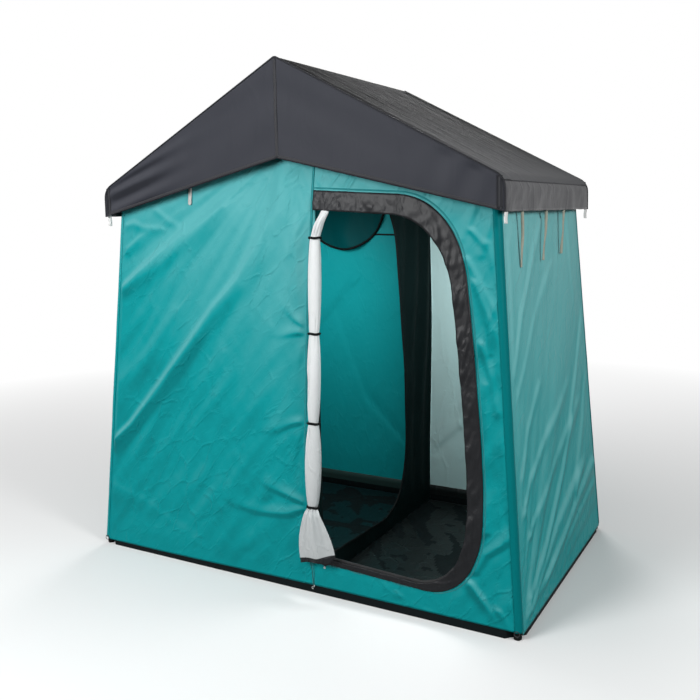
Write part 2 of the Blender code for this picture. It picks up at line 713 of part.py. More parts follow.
def build_zip_track():
    outline = zip_edge(GAP) + zip_edge(ZIP_WIDTH)[::-1]
    bm = bmesh.new()
    plate(bm, [on_front(x, z) for x, z in outline], on_front(0, 0, -ZIP_THICKNESS) - on_front(0, 0))
    add_mesh("door_zip_track", bm, "zip_coil")


def slider_placing():
    """The slider's frame: X along the sill's zip, Y into the tent and Z up, on the zip's top edge."""
    right, left = zip_edge(ZIP_WIDTH)[-2:]
    share = (SLIDER_REST_X - left[0]) / (right[0] - left[0])
    height = left[1] + share * (right[1] - left[1])
    along = (on_front(*right) - on_front(*left)).normalized()
    inward = Vector((0, 1, -LEAN_Y)).normalized()
    up = along.cross(inward)
    turn = Matrix((along, inward, up)).transposed().to_4x4()
    return Matrix.Translation(on_front(SLIDER_REST_X, height)) @ turn


def build_zip_slider():
    """The slider, a block that grips the zip's edge from above, and the pull that hangs on its front."""
    placing = slider_placing()
    start = -SLIDER_LENGTH / 2
    front, back = -GAP, ZIP_THICKNESS + GAP
    top = GAP + SLIDER_WALL
    section = [
        (front - SLIDER_WALL, -SLIDER_GRIP), (front, -SLIDER_GRIP), (front, GAP), (back, GAP),
        (back, -SLIDER_GRIP), (back + SLIDER_WALL, -SLIDER_GRIP), (back + SLIDER_WALL, top),
        (front - SLIDER_WALL, top),
    ]
    bm = bmesh.new()
    plate(bm, [Vector((start, y, z)) for y, z in section], Vector((SLIDER_LENGTH, 0, 0)))
    slider = add_mesh("door_zip_slider", bm, "zip_coil")
    slider.matrix_world = placing
    bm = bmesh.new()
    half = PULL_WIDTH / 2
    outline = [(-half, -PULL_LENGTH), (half, -PULL_LENGTH), (half, 0), (-half, 0)]
    plate(
        bm, [Vector((x, -PULL_THICKNESS / 2, z)) for x, z in outline], Vector((0, PULL_THICKNESS, 0)),
    )
    pull = add_mesh("door_zip_pull", bm, "zinc")
    hinge = Vector((0, front - SLIDER_WALL - PULL_CLEARANCE - PULL_THICKNESS / 2, 0))
    pull.matrix_world = placing @ Matrix.Translation(hinge)


def roll_way_out():
    """How far out the roll's middle lies, with its widest swell against the strip of wall left of the doorway."""
    across = (ROLL_X - DOOR_LEFT - HINGE_STRIP) / max(ROLL_SWELL_HALF_WIDTHS)
    return GAP + ROLL_SWELL_HALF_DEPTH * math.sqrt(1 - across * across)


def roll_rows():
    """The rolled door's rows from top to hem: height, half width, half depth, place across, way out, fold depth."""
    slimmer = ROLL_NECK_HALF_WIDTH
    thin = ROLL_NECK_HALF_DEPTH
    thick = ROLL_SWELL_HALF_DEPTH
    out = roll_way_out()
    gather_foot = ROLL_TOP_HEIGHT - ROLL_GATHER_HEIGHT
    lean = ROLL_GATHER_LEAN / (ROLL_TOP_HEIGHT - ROLL_TIE_HEIGHTS[0])
    for height in (ROLL_TOP_HEIGHT, gather_foot):
        across = ROLL_X + lean * (height - ROLL_TIE_HEIGHTS[0])
        yield height, ROLL_GATHER_HALF_WIDTH, thick, across, out, GATHER_FOLD
    for tie, height in enumerate(ROLL_TIE_HEIGHTS):
        yield height + TIE_HALF_SPAN, slimmer, thin, ROLL_X, out, NECK_FOLD
        yield height - TIE_HALF_SPAN, slimmer, thin, ROLL_X, out, NECK_FOLD
        if tie + 1 == len(ROLL_TIE_HEIGHTS):
            break
        start = height - TIE_HALF_SPAN
        end = ROLL_TIE_HEIGHTS[tie + 1] + TIE_HALF_SPAN
        fuller = ROLL_SWELL_HALF_WIDTHS[tie]
        for step in range(1, ROLL_STEPS):
            t = step / ROLL_STEPS
            swell = math.sin(math.pi * t) ** SWELL_FULLNESS
            yield (
                start + t * (end - start), slimmer + swell * (fuller - slimmer), thin + swell * (thick - thin),
                ROLL_X, out, NECK_FOLD * (1 - swell) + SWELL_FOLD,
            )
    start = ROLL_TIE_HEIGHTS[-1] - TIE_HALF_SPAN
    for step in range(1, ROLL_STEPS + 1):
        t = step / ROLL_STEPS
        flare = math.sin(math.pi / 2 * t) ** SKIRT_FULLNESS
        depth = thin + flare * (SKIRT_HALF_DEPTH - thin)
        way_out = out + flare * (SKIRT_CLEARANCE + SKIRT_HALF_DEPTH - out)
        yield (
            start + t * (ROLL_HEM_HEIGHT - start), slimmer + flare * (SKIRT_HALF_WIDTH - slimmer), depth,
            ROLL_X + t * (SKIRT_X - ROLL_X), way_out, NECK_FOLD + (SKIRT_FOLD - NECK_FOLD) * flare,
        )


def build_rolled_door():
    """The door rolled inside out: swells between its four ties and a pleated skirt below the last."""
    sides = 2 * ROUND_SIDES
    bm = bmesh.new()
    rows = []
    for height, half_wide, half_deep, across, out, fold in roll_rows():
        row = []
        for step in range(sides):
            turn = math.tau * step / sides
            draw = 1 - fold * (1 + math.cos(ROLL_PLEATS * turn)) / 2
            row.append(bm.verts.new(on_front(
                across + half_wide * draw * math.cos(turn), height, out - half_deep * draw * math.sin(turn),
            )))
        rows.append(row)
    for upper, lower in zip(rows, rows[1:]):
        for i, corner in enumerate(upper):
            after = (i + 1) % sides
            bm.faces.new((corner, upper[after], lower[after], lower[i]))
    bm.faces.new(rows[0])
    bm.faces.new(rows[-1])
    add_mesh("rolled_door", bm, "white_cloth", on_front(ROLL_X, ROLL_TIE_HEIGHTS[0]), SMOOTH_ANGLE)


def add_loop(name, points, radius, finish, closed, origin, resolution=1):
    """A bent wire or elastic: a tube along points."""
    curve = bpy.data.curves.new(name, "CURVE")
    curve.dimensions = "3D"
    curve.bevel_depth = radius
    curve.bevel_resolution = resolution
    curve.use_fill_caps = not closed
    line = curve.splines.new("POLY")
    line.points.add(len(points) - 1)
    for spot, point in zip(line.points, points):
        spot.co = (*(Vector(point) - Vector(origin)), 1)
    line.use_cyclic_u = closed
    line.use_smooth = True
    piece = add_object(name, curve, finish)
    piece.location = origin
    return piece


def build_door_ties():
    """Four elastic ties, each a loop round a neck of the rolled door."""
    wide = ROLL_NECK_HALF_WIDTH + GAP + TIE_RADIUS
    deep = ROLL_NECK_HALF_DEPTH + GAP + TIE_RADIUS
    out = roll_way_out()
    for number, height in enumerate(ROLL_TIE_HEIGHTS, 1):
        points = []
        for step in range(FINE_SIDES):
            turn = math.tau * step / FINE_SIDES
            points.append(on_front(ROLL_X + wide * math.cos(turn), height, out + deep * math.sin(turn)))
        add_loop(f"door_tie_{number}", points, TIE_RADIUS, "black_cloth", True, on_front(ROLL_X, height))


def build_webbing_loop():
    """The doubled strap on the front wall, hinged where it is sewn."""
    half = LOOP_WIDTH / 2
    bottom = LOOP_TOP - LOOP_LENGTH
    outline = [(LOOP_X + half, LOOP_TOP), (LOOP_X - half, LOOP_TOP)]
    for step in range(LOOP_END_STEPS + 1):
        turn = math.pi * step / LOOP_END_STEPS
        outline.append((LOOP_X - half * math.cos(turn), bottom + half - half * math.sin(turn)))
    bm = bmesh.new()
    plate(bm, [on_front(x, z, GAP) for x, z in outline], on_front(0, 0, LOOP_THICKNESS) - on_front(0, 0))
    add_mesh("front_webbing_loop", bm, "webbing", on_front(LOOP_X, LOOP_TOP, GAP + LOOP_THICKNESS / 2))


def smooth_route(points, spacing):
    """Evenly spaced points on a smooth curve through the route's own points."""
    route = [Vector(point) for point in points]
    ends = [2 * route[0] - route[1]] + route + [2 * route[-1] - route[-2]]
    fine = [route[0]]
    for before, start, end, after in zip(ends, ends[1:], ends[2:], ends[3:]):
        steps = max(1, round((end - start).length / spacing))
        for step in range(1, steps + 1):
            t = step / steps
            fine.append(
                ((2 * start) + (end - before) * t + (2 * before - 5 * start + 4 * end - after) * t * t
                 + (3 * start - before - 3 * end + after) * t ** 3) / 2
            )
    return fine


def build_side_ties():
    """Three tie ribbons that hang from the inside of the fly's right hem."""
    for name, route in SIDE_TIE_ROUTES.items():
        points = smooth_route(route, CORD_SPACING)
        add_loop(name, points, TIE_CORD_RADIUS, "webbing", False, route[0], CORD_RESOLUTION)


def build_hook_cord():
    """The thin cord from the rolled door's hem to the hook."""
    points = smooth_route(HOOK_CORD_ROUTE, CORD_SPACING)
    add_loop("hook_cord", points, HOOK_CORD_RADIUS, "black_cloth", False, HOOK_CORD_ROUTE[0], CORD_RESOLUTION)


def build_peg_rings():
    """A wire ring near each corner, hung on the hem of the front or back wall."""
    for corner, side, end in corner_names():
        place = on_front if end < 0 else on_back
        out = GAP + RING_WIRE
        across = side * (half_width(RING_HEIGHT) - RING_INSET)
        points = []
        for step in range(FINE_SIDES):
            turn = math.tau * step / FINE_SIDES
            height = RING_HEIGHT - RING_RADIUS + RING_RADIUS * math.cos(turn)
            points.append(place(across + RING_RADIUS * math.sin(turn), height, out))
        add_loop(f"peg_ring_{corner}", points, RING_WIRE, "zinc", True, place(across, RING_HEIGHT, out))


def build_hem_hook():
    """A small wire hook at the foot of the door seam."""
    out = GAP + HOOK_WIRE
    points = []
    steps = ROUND_SIDES // 2
    for step in range(steps + 1):
        turn = math.pi * HOOK_HALF_TURNS * step / steps
        points.append(on_front(
            HOOK_X + HOOK_RADIUS * math.sin(turn), HOOK_TOP - HOOK_RADIUS + HOOK_RADIUS * math.cos(turn), out,
        ))
    for step in range(1, steps + 1):
        turn = math.pi * HOOK_HALF_TURNS * step / steps
        points.append(on_front(
            points[steps].x - HOOK_RADIUS * math.sin(turn),
            points[steps].z - HOOK_RADIUS + HOOK_RADIUS * math.cos(turn), out,
        ))
    add_loop("hem_hook", points, HOOK_WIRE, "zinc", False, points[0])


clear_scene()
build_frame()
build_groundsheet()
build_front_walls()
build_back_walls()
build_window_cover()
build_side_wall("left_wall", -1)
build_side_wall("right_wall", 1)
build_net_roof()
build_partition()
build_storm_flap()
build_zip_track()
build_zip_slider()
build_rolled_door()
build_door_ties()
build_fly()
build_fly_tabs()
build_webbing_loop()
build_side_ties()
build_hook_cord()
build_peg_rings()
build_hem_hook()
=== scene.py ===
"""Two-room sauna tent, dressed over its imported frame: coated cloth walls and a charcoal fly on a pole frame.

Metres, +Z up, the front with its doorway facing -Y, as in the frame.
"""

import math

import bmesh
import bpy
from mathutils import Matrix, Vector, noise


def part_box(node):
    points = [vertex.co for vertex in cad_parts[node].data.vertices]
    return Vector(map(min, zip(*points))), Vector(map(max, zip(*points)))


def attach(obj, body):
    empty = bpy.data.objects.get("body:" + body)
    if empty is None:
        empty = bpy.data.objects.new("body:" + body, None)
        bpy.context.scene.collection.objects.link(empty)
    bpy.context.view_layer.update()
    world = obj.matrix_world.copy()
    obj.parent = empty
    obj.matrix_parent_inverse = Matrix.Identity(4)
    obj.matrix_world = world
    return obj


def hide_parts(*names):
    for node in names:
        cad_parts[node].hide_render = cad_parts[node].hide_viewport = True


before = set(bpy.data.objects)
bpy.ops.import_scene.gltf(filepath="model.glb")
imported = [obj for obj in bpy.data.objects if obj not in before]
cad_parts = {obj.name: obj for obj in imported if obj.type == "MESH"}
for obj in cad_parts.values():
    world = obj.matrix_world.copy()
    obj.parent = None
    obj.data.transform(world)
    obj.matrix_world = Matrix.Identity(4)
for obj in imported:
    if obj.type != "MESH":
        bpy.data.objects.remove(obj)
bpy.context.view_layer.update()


# The studio
# A pale seamless floor that fades into a white backdrop. Soft lamps hang over the front, overhead, on the
# right and behind, and two small ones under the roof, so that the rooms read as they do through coated
# cloth. The camera stands at eye height off the front right corner.
CAMERA_PLACE = (1.9329, -3.4830, 1.6120)
CAMERA_YAW = 0.50944
CAMERA_PITCH = -0.16668
CAMERA_ROLL = -0.01607
FOCAL_SHARE = 834.39 / 700
SENSOR_WIDTH = 36
FLOOR_SIZE = 60.0
FLOOR_NEAR = 1.3
FLOOR_FADE = 4.0
FLOOR_DROP = 0.0005
FLOOR_COLOUR = (0.80, 0.805, 0.805)
LAMPS = (
    ("lamp_at_front", (-1.1, -3.9, 2.5), (-0.1, -0.6, 1.6), 2.0, 150.0),
    ("lamp_overhead", (-1.2, -1.2, 5.2), (0.0, 0.0, 1.0), 2.6, 18.0),
    ("lamp_on_right", (4.4, -2.0, 2.6), (0.9, 0.0, 1.3), 1.4, 120.0),
    ("lamp_behind", (-1.5, 4.4, 3.0), (0.0, 0.0, 1.0), 2.4, 110.0),
    ("lamp_in_left_room", (-0.40, -0.15, 1.50), (-0.45, 0.2, 0.4), 0.6, 10.0),
    ("lamp_in_right_room", (0.55, -0.15, 1.50), (0.55, 0.3, 0.6), 0.5, 9.0),
)
AMBIENT = 0.28
MIRRORED = 0.45
FLOOR_BOUNCE = (0.20, 0.20, 0.20)


class Value:
    """A value in a material. Sums written with it become Math nodes."""

    def __init__(self, finish, socket):
        self.finish = finish
        self.socket = socket

    def sum_of(self, operation, first, second=0.0):
        return self.finish.node("ShaderNodeMath", {"operation": operation}, {0: first, 1: second})

    def __add__(self, other):
        return self.sum_of("ADD", self, other)

    __radd__ = __add__

    def __sub__(self, other):
        return self.sum_of("SUBTRACT", self, other)

    def __rsub__(self, other):
        return self.sum_of("SUBTRACT", other, self)

    def __mul__(self, other):
        return self.sum_of("MULTIPLY", self, other)

    __rmul__ = __mul__

    def __truediv__(self, other):
        return self.sum_of("DIVIDE", self, other)

    def __pow__(self, other):
        return self.sum_of("POWER", self, other)

    def __gt__(self, other):
        return self.sum_of("GREATER_THAN", self, other)

    def held(self):
        """The value kept between 0 and 1."""
        return self.finish.node("ShaderNodeClamp", {}, {0: self})

    def wave(self):
        return self.sum_of("SINE", self)

    def least(self, other):
        return self.sum_of("MINIMUM", self, other)


class Finish:
    """A material: node() adds a node and gives back one of its outputs."""

    def __init__(self, owner):
        owner.use_nodes = True
        self.owner = owner
        self.nodes = owner.node_tree.nodes
        self.links = owner.node_tree.links

    def node(self, kind, settings=None, values=None, output=0):
        made = self.nodes.new(kind)
        for name, setting in (settings or {}).items():
            if name == "stops":
                self.set_stops(made.color_ramp, setting)
            else:
                setattr(made, name, setting)
        for name, value in (values or {}).items():
            self.plug(made.inputs[name], value)
        return Value(self, made.outputs[output])

    def set_stops(self, ramp, stops):
        for number, (place, colour) in enumerate(stops):
            stop = ramp.elements[number] if number < 2 else ramp.elements.new(place)
            stop.position = place
            stop.color = (*colour, 1)

    def plug(self, socket, value):
        if isinstance(value, Value):
            self.links.new(value.socket, socket)
        elif socket.type == "RGBA" and len(value) == 3:
            socket.default_value = (*value, 1)
        else:
            socket.default_value = value

    def give(self, name, value):
        self.plug(self.shader.inputs[name], value)

    def ray(self, kind):
        """1 for rays of a kind, such as Camera, and 0 for the others."""
        return self.node("ShaderNodeLightPath", output=f"Is {kind} Ray")

    def mix(self, first, second, share):
        return self.node("ShaderNodeMix", {"data_type": "RGBA"}, {0: share, 6: first, 7: second}, 2)

    def place(self, stretch=(1, 1, 1), turn=(0, 0, 0)):
        """Object coordinates, turned and then stretched."""
        spot = self.node("ShaderNodeTexCoord", output=3)
        turned = self.node(
            "ShaderNodeVectorRotate", {"rotation_type": "EULER_XYZ"}, {"Vector": spot, "Rotation": turn},
        )
        return self.node("ShaderNodeVectorMath", {"operation": "MULTIPLY"}, {0: turned, 1: stretch})

    def flat_place(self):
        """How far across and along a strap or seam a place is, from its UV in metres."""
        spot = self.node("ShaderNodeUVMap", {"uv_map": "along"})
        return [self.node("ShaderNodeSeparateXYZ", {}, {0: spot}, axis) for axis in (0, 1)]

    def dot(self, first, second):
        return self.node("ShaderNodeVectorMath", {"operation": "DOT_PRODUCT"}, {0: first, 1: second}, 1)

    def noise(self, where, scale, detail=2.0, rough=0.5, kind="FBM", warp=0.0):
        return self.node(
            "ShaderNodeTexNoise", {"noise_type": kind},
            {"Vector": where, "Scale": scale, "Detail": detail, "Roughness": rough, "Distortion": warp},
        )

    def ramp(self, value, *stops):
        return self.node("ShaderNodeValToRGB", {"stops": stops}, {0: value})

    def bump(self, height, distance, under=None):
        values = {"Height": height, "Distance": distance}
        if under is not None:
            values["Normal"] = under
        return self.node("ShaderNodeBump", {}, values)


def finish_for(name, **fixed):
    """A new material on a Principled shader, whose constant sockets are set straight away."""
    finish = Finish(bpy.data.materials.new(name))
    finish.shader = finish.nodes["Principled BSDF"]
    for socket, value in fixed.items():
        finish.give(socket.replace("_", " "), value)
    return finish


def aim_camera():
    level = math.cos(CAMERA_PITCH)
    ahead = Vector((-math.sin(CAMERA_YAW) * level, math.cos(CAMERA_YAW) * level, math.sin(CAMERA_PITCH)))
    right = ahead.cross(Vector((0, 0, 1))).normalized()
    up = right.cross(ahead)
    rolled_right = right * math.cos(CAMERA_ROLL) + up * math.sin(CAMERA_ROLL)
    rolled_up = up * math.cos(CAMERA_ROLL) - right * math.sin(CAMERA_ROLL)
    turn = Matrix((rolled_right, rolled_up, -ahead)).transposed().to_4x4()
    view = bpy.data.cameras.new("camera")
    view.sensor_fit = "HORIZONTAL"
    view.sensor_width = SENSOR_WIDTH
    view.lens = SENSOR_WIDTH * FOCAL_SHARE
    camera = bpy.data.objects.new("camera", view)
    bpy.context.scene.collection.objects.link(camera)
    camera.matrix_world = Matrix.Translation(CAMERA_PLACE) @ turn
    bpy.context.scene.camera = camera


def add_lamp(name, spot, target, size, power):
    light = bpy.data.lights.new(name, "AREA")
    light.shape = "DISK"
    light.size = size
    light.energy = power
    lamp = bpy.data.objects.new(name, light)
    bpy.context.scene.collection.objects.link(lamp)
    turn = (Vector(target) - Vector(spot)).to_track_quat("-Z", "Y").to_matrix().to_4x4()
    lamp.matrix_world = Matrix.Translation(spot) @ turn
    lamp.visible_camera = False


def light_world():
    world = bpy.data.worlds.new("studio")
    bpy.context.scene.world = world
    sky = Finish(world)
    seen = (sky.ray("Camera") + sky.ray("Glossy") * MIRRORED + sky.ray("Transmission")).held()
    plate = sky.nodes["Background"]
    sky.plug(plate.inputs["Color"], (1.0, 1.0, 1.0))
    sky.plug(plate.inputs["Strength"], AMBIENT + seen * (1 - AMBIENT))


def lay_floor():
    bm = bmesh.new()
    bmesh.ops.create_grid(bm, x_segments=1, y_segments=1, size=FLOOR_SIZE / 2)
    mesh = bpy.data.meshes.new("floor")
    bm.to_mesh(mesh)
    bm.free()
    floor = bpy.data.objects.new("floor", mesh)
    bpy.context.scene.collection.objects.link(floor)
    floor.location = (0, 0, -FLOOR_DROP)
    paper = finish_for("floor_paper", Roughness=0.75, Specular_IOR_Level=0.0)
    far = paper.node("ShaderNodeVectorMath", {"operation": "LENGTH"}, {0: paper.place()}, 1)
    seen = (paper.ray("Camera") + paper.ray("Glossy")).held()
    paper.give("Base Color", paper.mix(FLOOR_BOUNCE, FLOOR_COLOUR, seen))
    glow = paper.node("ShaderNodeEmission", {}, {"Strength": seen})
    faded = ((far - FLOOR_NEAR) / FLOOR_FADE).held()
    end = paper.nodes["Material Output"]
    paper.node("ShaderNodeMixShader", {}, {0: faded, 1: Value(paper, paper.shader.outputs[0]), 2: glow})
    paper.links.new(paper.nodes["Mix Shader"].outputs[0], end.inputs["Surface"])
    mesh.materials.append(paper.owner)


bpy.context.scene.view_settings.view_transform = "Standard"
aim_camera()
light_world()
lay_floor()
for lamp_values in LAMPS:
    add_lamp(*lamp_values)


# The tie ribbons and the hook's cord
# Three beige woven ribbons sewn inside the fly's right hem hang loose down the side wall. A thin black
# elastic runs from the rolled door's hem to the hook on the wall's hem. Each follows its route in the frame.
SIDE_TIES = {
    "side_tie_front": (
        (0.9545, -0.384, 1.606), (0.9550, -0.384, 1.575), (0.9565, -0.383, 1.535), (0.9575, -0.385, 1.495),
        (0.9565, -0.387, 1.455), (0.9550, -0.384, 1.420), (0.9545, -0.383, 1.385),
    ),
    "side_tie_middle": (
        (0.9545, -0.066, 1.606), (0.9550, -0.068, 1.575), (0.9565, -0.072, 1.535), (0.9575, -0.080, 1.500),
        (0.9560, -0.088, 1.465), (0.9550, -0.092, 1.430), (0.9545, -0.093, 1.395),
    ),
    "side_tie_back": (
        (0.9545, 0.206, 1.606), (0.9550, 0.203, 1.575), (0.9560, 0.196, 1.538), (0.9575, 0.190, 1.503),
        (0.9565, 0.185, 1.468), (0.9550, 0.181, 1.438), (0.9545, 0.178, 1.408),
    ),
}
SIDE_TIE_WIDTH = 0.012
SIDE_TIE_THICKNESS = 0.0008
SIDE_TIE_TURN = 0.7
SIDE_TIE_TWIST = 0.5
HOOK_CORD = (
    (0.1520, -0.6670, 0.1490), (0.1522, -0.6640, 0.1300), (0.1526, -0.6575, 0.1050),
    (0.1521, -0.6505, 0.0800), (0.1519, -0.6470, 0.0600), (0.1520, -0.6457, 0.0450),
    (0.1520, -0.6456, 0.0378),
)
HOOK_CORD_DIAMETER = 0.0015
CORD_STEP = 0.004
BEIGE = (0.38, 0.385, 0.315)
WEAVE_PITCH = 0.0016
TUBE_ROUNDNESS = 3


def add_piece(name, shape, *finishes, body="tent"):
    piece = bpy.data.objects.new(name, shape)
    bpy.context.scene.collection.objects.link(piece)
    for finish in finishes:
        shape.materials.append(finish)
    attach(piece, body)
    return piece


def new_grid(across, along):
    """A bmesh with a flat grid of so many steps, from -0.5 to 0.5 both ways."""
    bm = bmesh.new()
    bmesh.ops.create_grid(bm, x_segments=across, y_segments=along, size=0.5)
    return bm


def lay_flat(bm, flat):
    """Gives the UV of a bmesh from each corner's place on the flat cloth, in metres."""
    layer = bm.loops.layers.uv.new("along")
    for face in bm.faces:
        for loop in face.loops:
            loop[layer].uv = flat[loop.vert]


def end_mesh(name, bm, *finishes, outward=None, sharp=None, body="tent"):
    """Ends a bmesh as a piece, shaded smooth. outward is the way its first faces look."""
    bm.normal_update()
    if outward is not None:
        facing = sum((face.normal * face.calc_area() for face in bm.faces), Vector())
        if facing.dot(Vector(outward)) < 0:
            bmesh.ops.reverse_faces(bm, faces=bm.faces)
    mesh = bpy.data.meshes.new(name)
    bm.to_mesh(mesh)
    bm.free()
    mesh.shade_smooth()
    if sharp is not None:
        mesh.set_sharp_from_angle(angle=sharp)
    return add_piece(name, mesh, *finishes, body=body)


def smooth_route(points, spacing):
    """Evenly spaced points on a smooth curve through the route's own points."""
    route = [Vector(point) for point in points]
    ends = [2 * route[0] - route[1]] + route + [2 * route[-1] - route[-2]]
    fine = [route[0]]
    for before, start, end, after in zip(ends, ends[1:], ends[2:], ends[3:]):
        steps = max(1, round((end - start).length / spacing))
        for step in range(1, steps + 1):
            t = step / steps
            fine.append(
                ((2 * start) + (end - before) * t + (2 * before - 5 * start + 4 * end - after) * t * t
                 + (3 * start - before - 3 * end + after) * t ** 3) / 2
            )
    return fine


def ribbon(name, line, widths, across, thickness, finish, body="tent"):
    """A flat strap along a line. across(share) is the way its width runs. Its UV is in metres."""
    bm = new_grid(2, len(line) - 1)
    run = [0.0]
    for start, end in zip(line, line[1:]):
        run.append(run[-1] + (end - start).length)
    flat = {}
    for vert in bm.verts:
        row = round((vert.co.y + 0.5) * (len(line) - 1))
        wide = widths(row / (len(line) - 1)) if callable(widths) else widths
        offset = vert.co.x * wide
        flat[vert] = (offset, run[row])
        vert.co = line[row] + across(row / (len(line) - 1)) * offset
    lay_flat(bm, flat)
    piece = end_mesh(name, bm, finish, body=body)
    give_thickness(piece, thickness, 0.0)
    return piece


def give_thickness(piece, thickness, offset=-1.0, lining=False):
    """Closes a sheet by its thickness, inwards from its outer face. A lining is its second material."""
    shell = piece.modifiers.new("thickness", "SOLIDIFY")
    shell.thickness = thickness
    shell.offset = offset
    shell.material_offset = 1 if lining else 0


def woven(name, colour):
    """Woven tape: ribs across it and ends along it, from its UV in metres."""
    tape = finish_for(name, Roughness=0.75, Specular_IOR_Level=0.25, Sheen_Weight=0.15)
    across, along = tape.flat_place()
    ribs = (along * (math.tau / WEAVE_PITCH)).wave() * 0.5 + (across * (math.tau / WEAVE_PITCH)).wave() * 0.5
    worn = tape.noise(tape.place(), 60.0, 3.0)
    shade = (0.5 + ribs * 0.25 * 0.35 + (worn - 0.5) * 0.7).held()
    dark = tuple(part * 0.62 for part in colour)
    pale = tuple(min(1.0, part * 1.25) for part in colour)
    tape.give("Base Color", tape.mix(dark, pale, shade))
    tape.give("Normal", tape.bump(ribs, 0.0002))
    return tape.owner


def tube(name, points, radius, finish, closed=False, body="tent"):
    """A round cord, wire or piping: a curve with a round section through points."""
    curve = bpy.data.curves.new(name, "CURVE")
    curve.dimensions = "3D"
    curve.bevel_depth = radius
    curve.bevel_resolution = TUBE_ROUNDNESS
    curve.use_fill_caps = not closed
    line = curve.splines.new("POLY")
    line.points.add(len(points) - 1)
    for spot, point in zip(line.points, points):
        spot.co = (*point, 1)
    line.use_cyclic_u = closed
    line.use_smooth = True
    return add_piece(name, curve, finish, body=body)


beige_ribbon = woven("beige_ribbon", BEIGE)
for number, (name, route) in enumerate(SIDE_TIES.items()):
    line = smooth_route(route, CORD_STEP)

    def width_way(share, number=number):
        turn = SIDE_TIE_TURN + SIDE_TIE_TWIST * math.sin(math.pi * (1.6 * share + 0.4 * number))
        return Vector((math.sin(turn), math.cos(turn), 0))

    tie = ribbon(f"{name}_ribbon", line, SIDE_TIE_WIDTH, width_way, SIDE_TIE_THICKNESS, beige_ribbon)
    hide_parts(name)


def moulded(name, colour, roughness, grain=220.0, metallic=0.0, scuff=0.25, specular=0.45):
    """Moulded or painted stock: a fine grain and lighter scuffs."""
    stock = finish_for(name, Specular_IOR_Level=specular, Metallic=metallic)
    where = stock.place()
    marks = stock.ramp(stock.noise(where, 26.0, 5.0, 0.62), (0.55, (0, 0, 0)), (0.78, (1, 1, 1)))
    fine = stock.noise(where, grain, 3.0)
    pale = tuple(min(1.0, part * 1.9 + 0.02) for part in colour)
    stock.give("Base Color", stock.mix(colour, pale, marks * scuff))
    stock.give("Roughness", roughness + (fine - 0.5) * 0.12 + marks * 0.08)
    stock.give("Normal", stock.bump(fine, 0.0002))
    return stock.owner


black_elastic = moulded("black_elastic", (0.010, 0.010, 0.011), 0.7)
cord_line = smooth_route(HOOK_CORD, CORD_STEP)
hook_cord = tube("hook_cord_elastic", cord_line, HOOK_CORD_DIAMETER / 2, black_elastic)
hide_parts("hook_cord")


# The pole frame
# Powder-coated steel tubes plug into each other and into moulded elbows and peak pieces. They are carried
# over from the frame as they are, in painted steel and in glass-filled plastic. The hook is bright zinc wire
# and the peg rings are dull wire.
painted_steel = moulded("painted_steel", (0.045, 0.047, 0.050), 0.42, 500.0, 0.35, 0.5)
elbow_plastic = moulded("elbow_plastic", (0.012, 0.012, 0.013), 0.48, 260.0)
zinc_wire = moulded("zinc_wire", (0.60, 0.61, 0.62), 0.28, 400.0, 1.0, 0.1)
dull_wire = moulded("dull_wire", (0.045, 0.045, 0.048), 0.50, 400.0, 0.9, 0.1)


def keep_nodes(finish, *starts):
    for name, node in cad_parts.items():
        if name.startswith(starts):
            node.data.materials.clear()
            node.data.materials.append(finish)


keep_nodes(painted_steel, "lower_leg", "upper_leg", "rafter", "ridge_tube", "eave_tube")
keep_nodes(elbow_plastic, "eave_elbow", "peak_connector")
keep_nodes(dull_wire, "peg_ring")
keep_nodes(zinc_wire, "hem_hook")


# The boots
# Black rubber cups, moulded in one piece, that the four corner legs stand in. Each has a thicker foot, a
# groove round its side and a rolled lip.
BOOT_RADIUS = 0.016
BOOT_HEIGHT = 0.042
BOOT_BORE = 0.0098
BOOT_PLAY = 0.0004
BOOT_FLOOR = 0.010
BOOT_AXIS_HOLE = 0.0005
BOOT_SECTION_SHARES = (
    (0.86, 0.00), (0.97, 0.03), (1.00, 0.09), (1.00, 0.24), (0.95, 0.29), (0.91, 0.34), (0.90, 0.60),
    (0.92, 0.66), (0.92, 0.84), (0.95, 0.88), (0.97, 0.93), (0.93, 0.99), (0.84, 1.00),
)
boot_rubber = moulded("boot_rubber", (0.004, 0.004, 0.004), 0.80, 160.0, scuff=0.08, specular=0.12)
CORNERS = {"front_left": (-1, -1), "front_right": (1, -1), "back_left": (-1, 1), "back_right": (1, 1)}
for corner in CORNERS:
    low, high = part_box(f"boot_{corner}")
    middle = (low + high) / 2
    bm = bmesh.new()
    bore = BOOT_BORE + BOOT_PLAY
    line = [(BOOT_AXIS_HOLE, 0.0)] + [(r * BOOT_RADIUS, z * BOOT_HEIGHT) for r, z in BOOT_SECTION_SHARES]
    line += [(bore, BOOT_HEIGHT), (bore, BOOT_FLOOR), (BOOT_AXIS_HOLE, BOOT_FLOOR)]
    ring = [bm.verts.new((radius, 0, height)) for radius, height in line]
    edges = [bm.edges.new(pair) for pair in zip(ring, ring[1:] + ring[:1])]
    bmesh.ops.spin(
        bm, geom=ring + edges, axis=(0, 0, 1), cent=(0, 0, 0), angle=math.tau, steps=40, use_merge=True,
    )
    bmesh.ops.remove_doubles(bm, verts=bm.verts, dist=0.00002)
    bmesh.ops.recalc_face_normals(bm, faces=bm.faces)
    bmesh.ops.translate(bm, verts=bm.verts, vec=(middle.x, middle.y, 0))
    boot = end_mesh(f"rubber_boot_{corner}", bm, boot_rubber, sharp=math.radians(50))
    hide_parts(f"boot_{corner}")


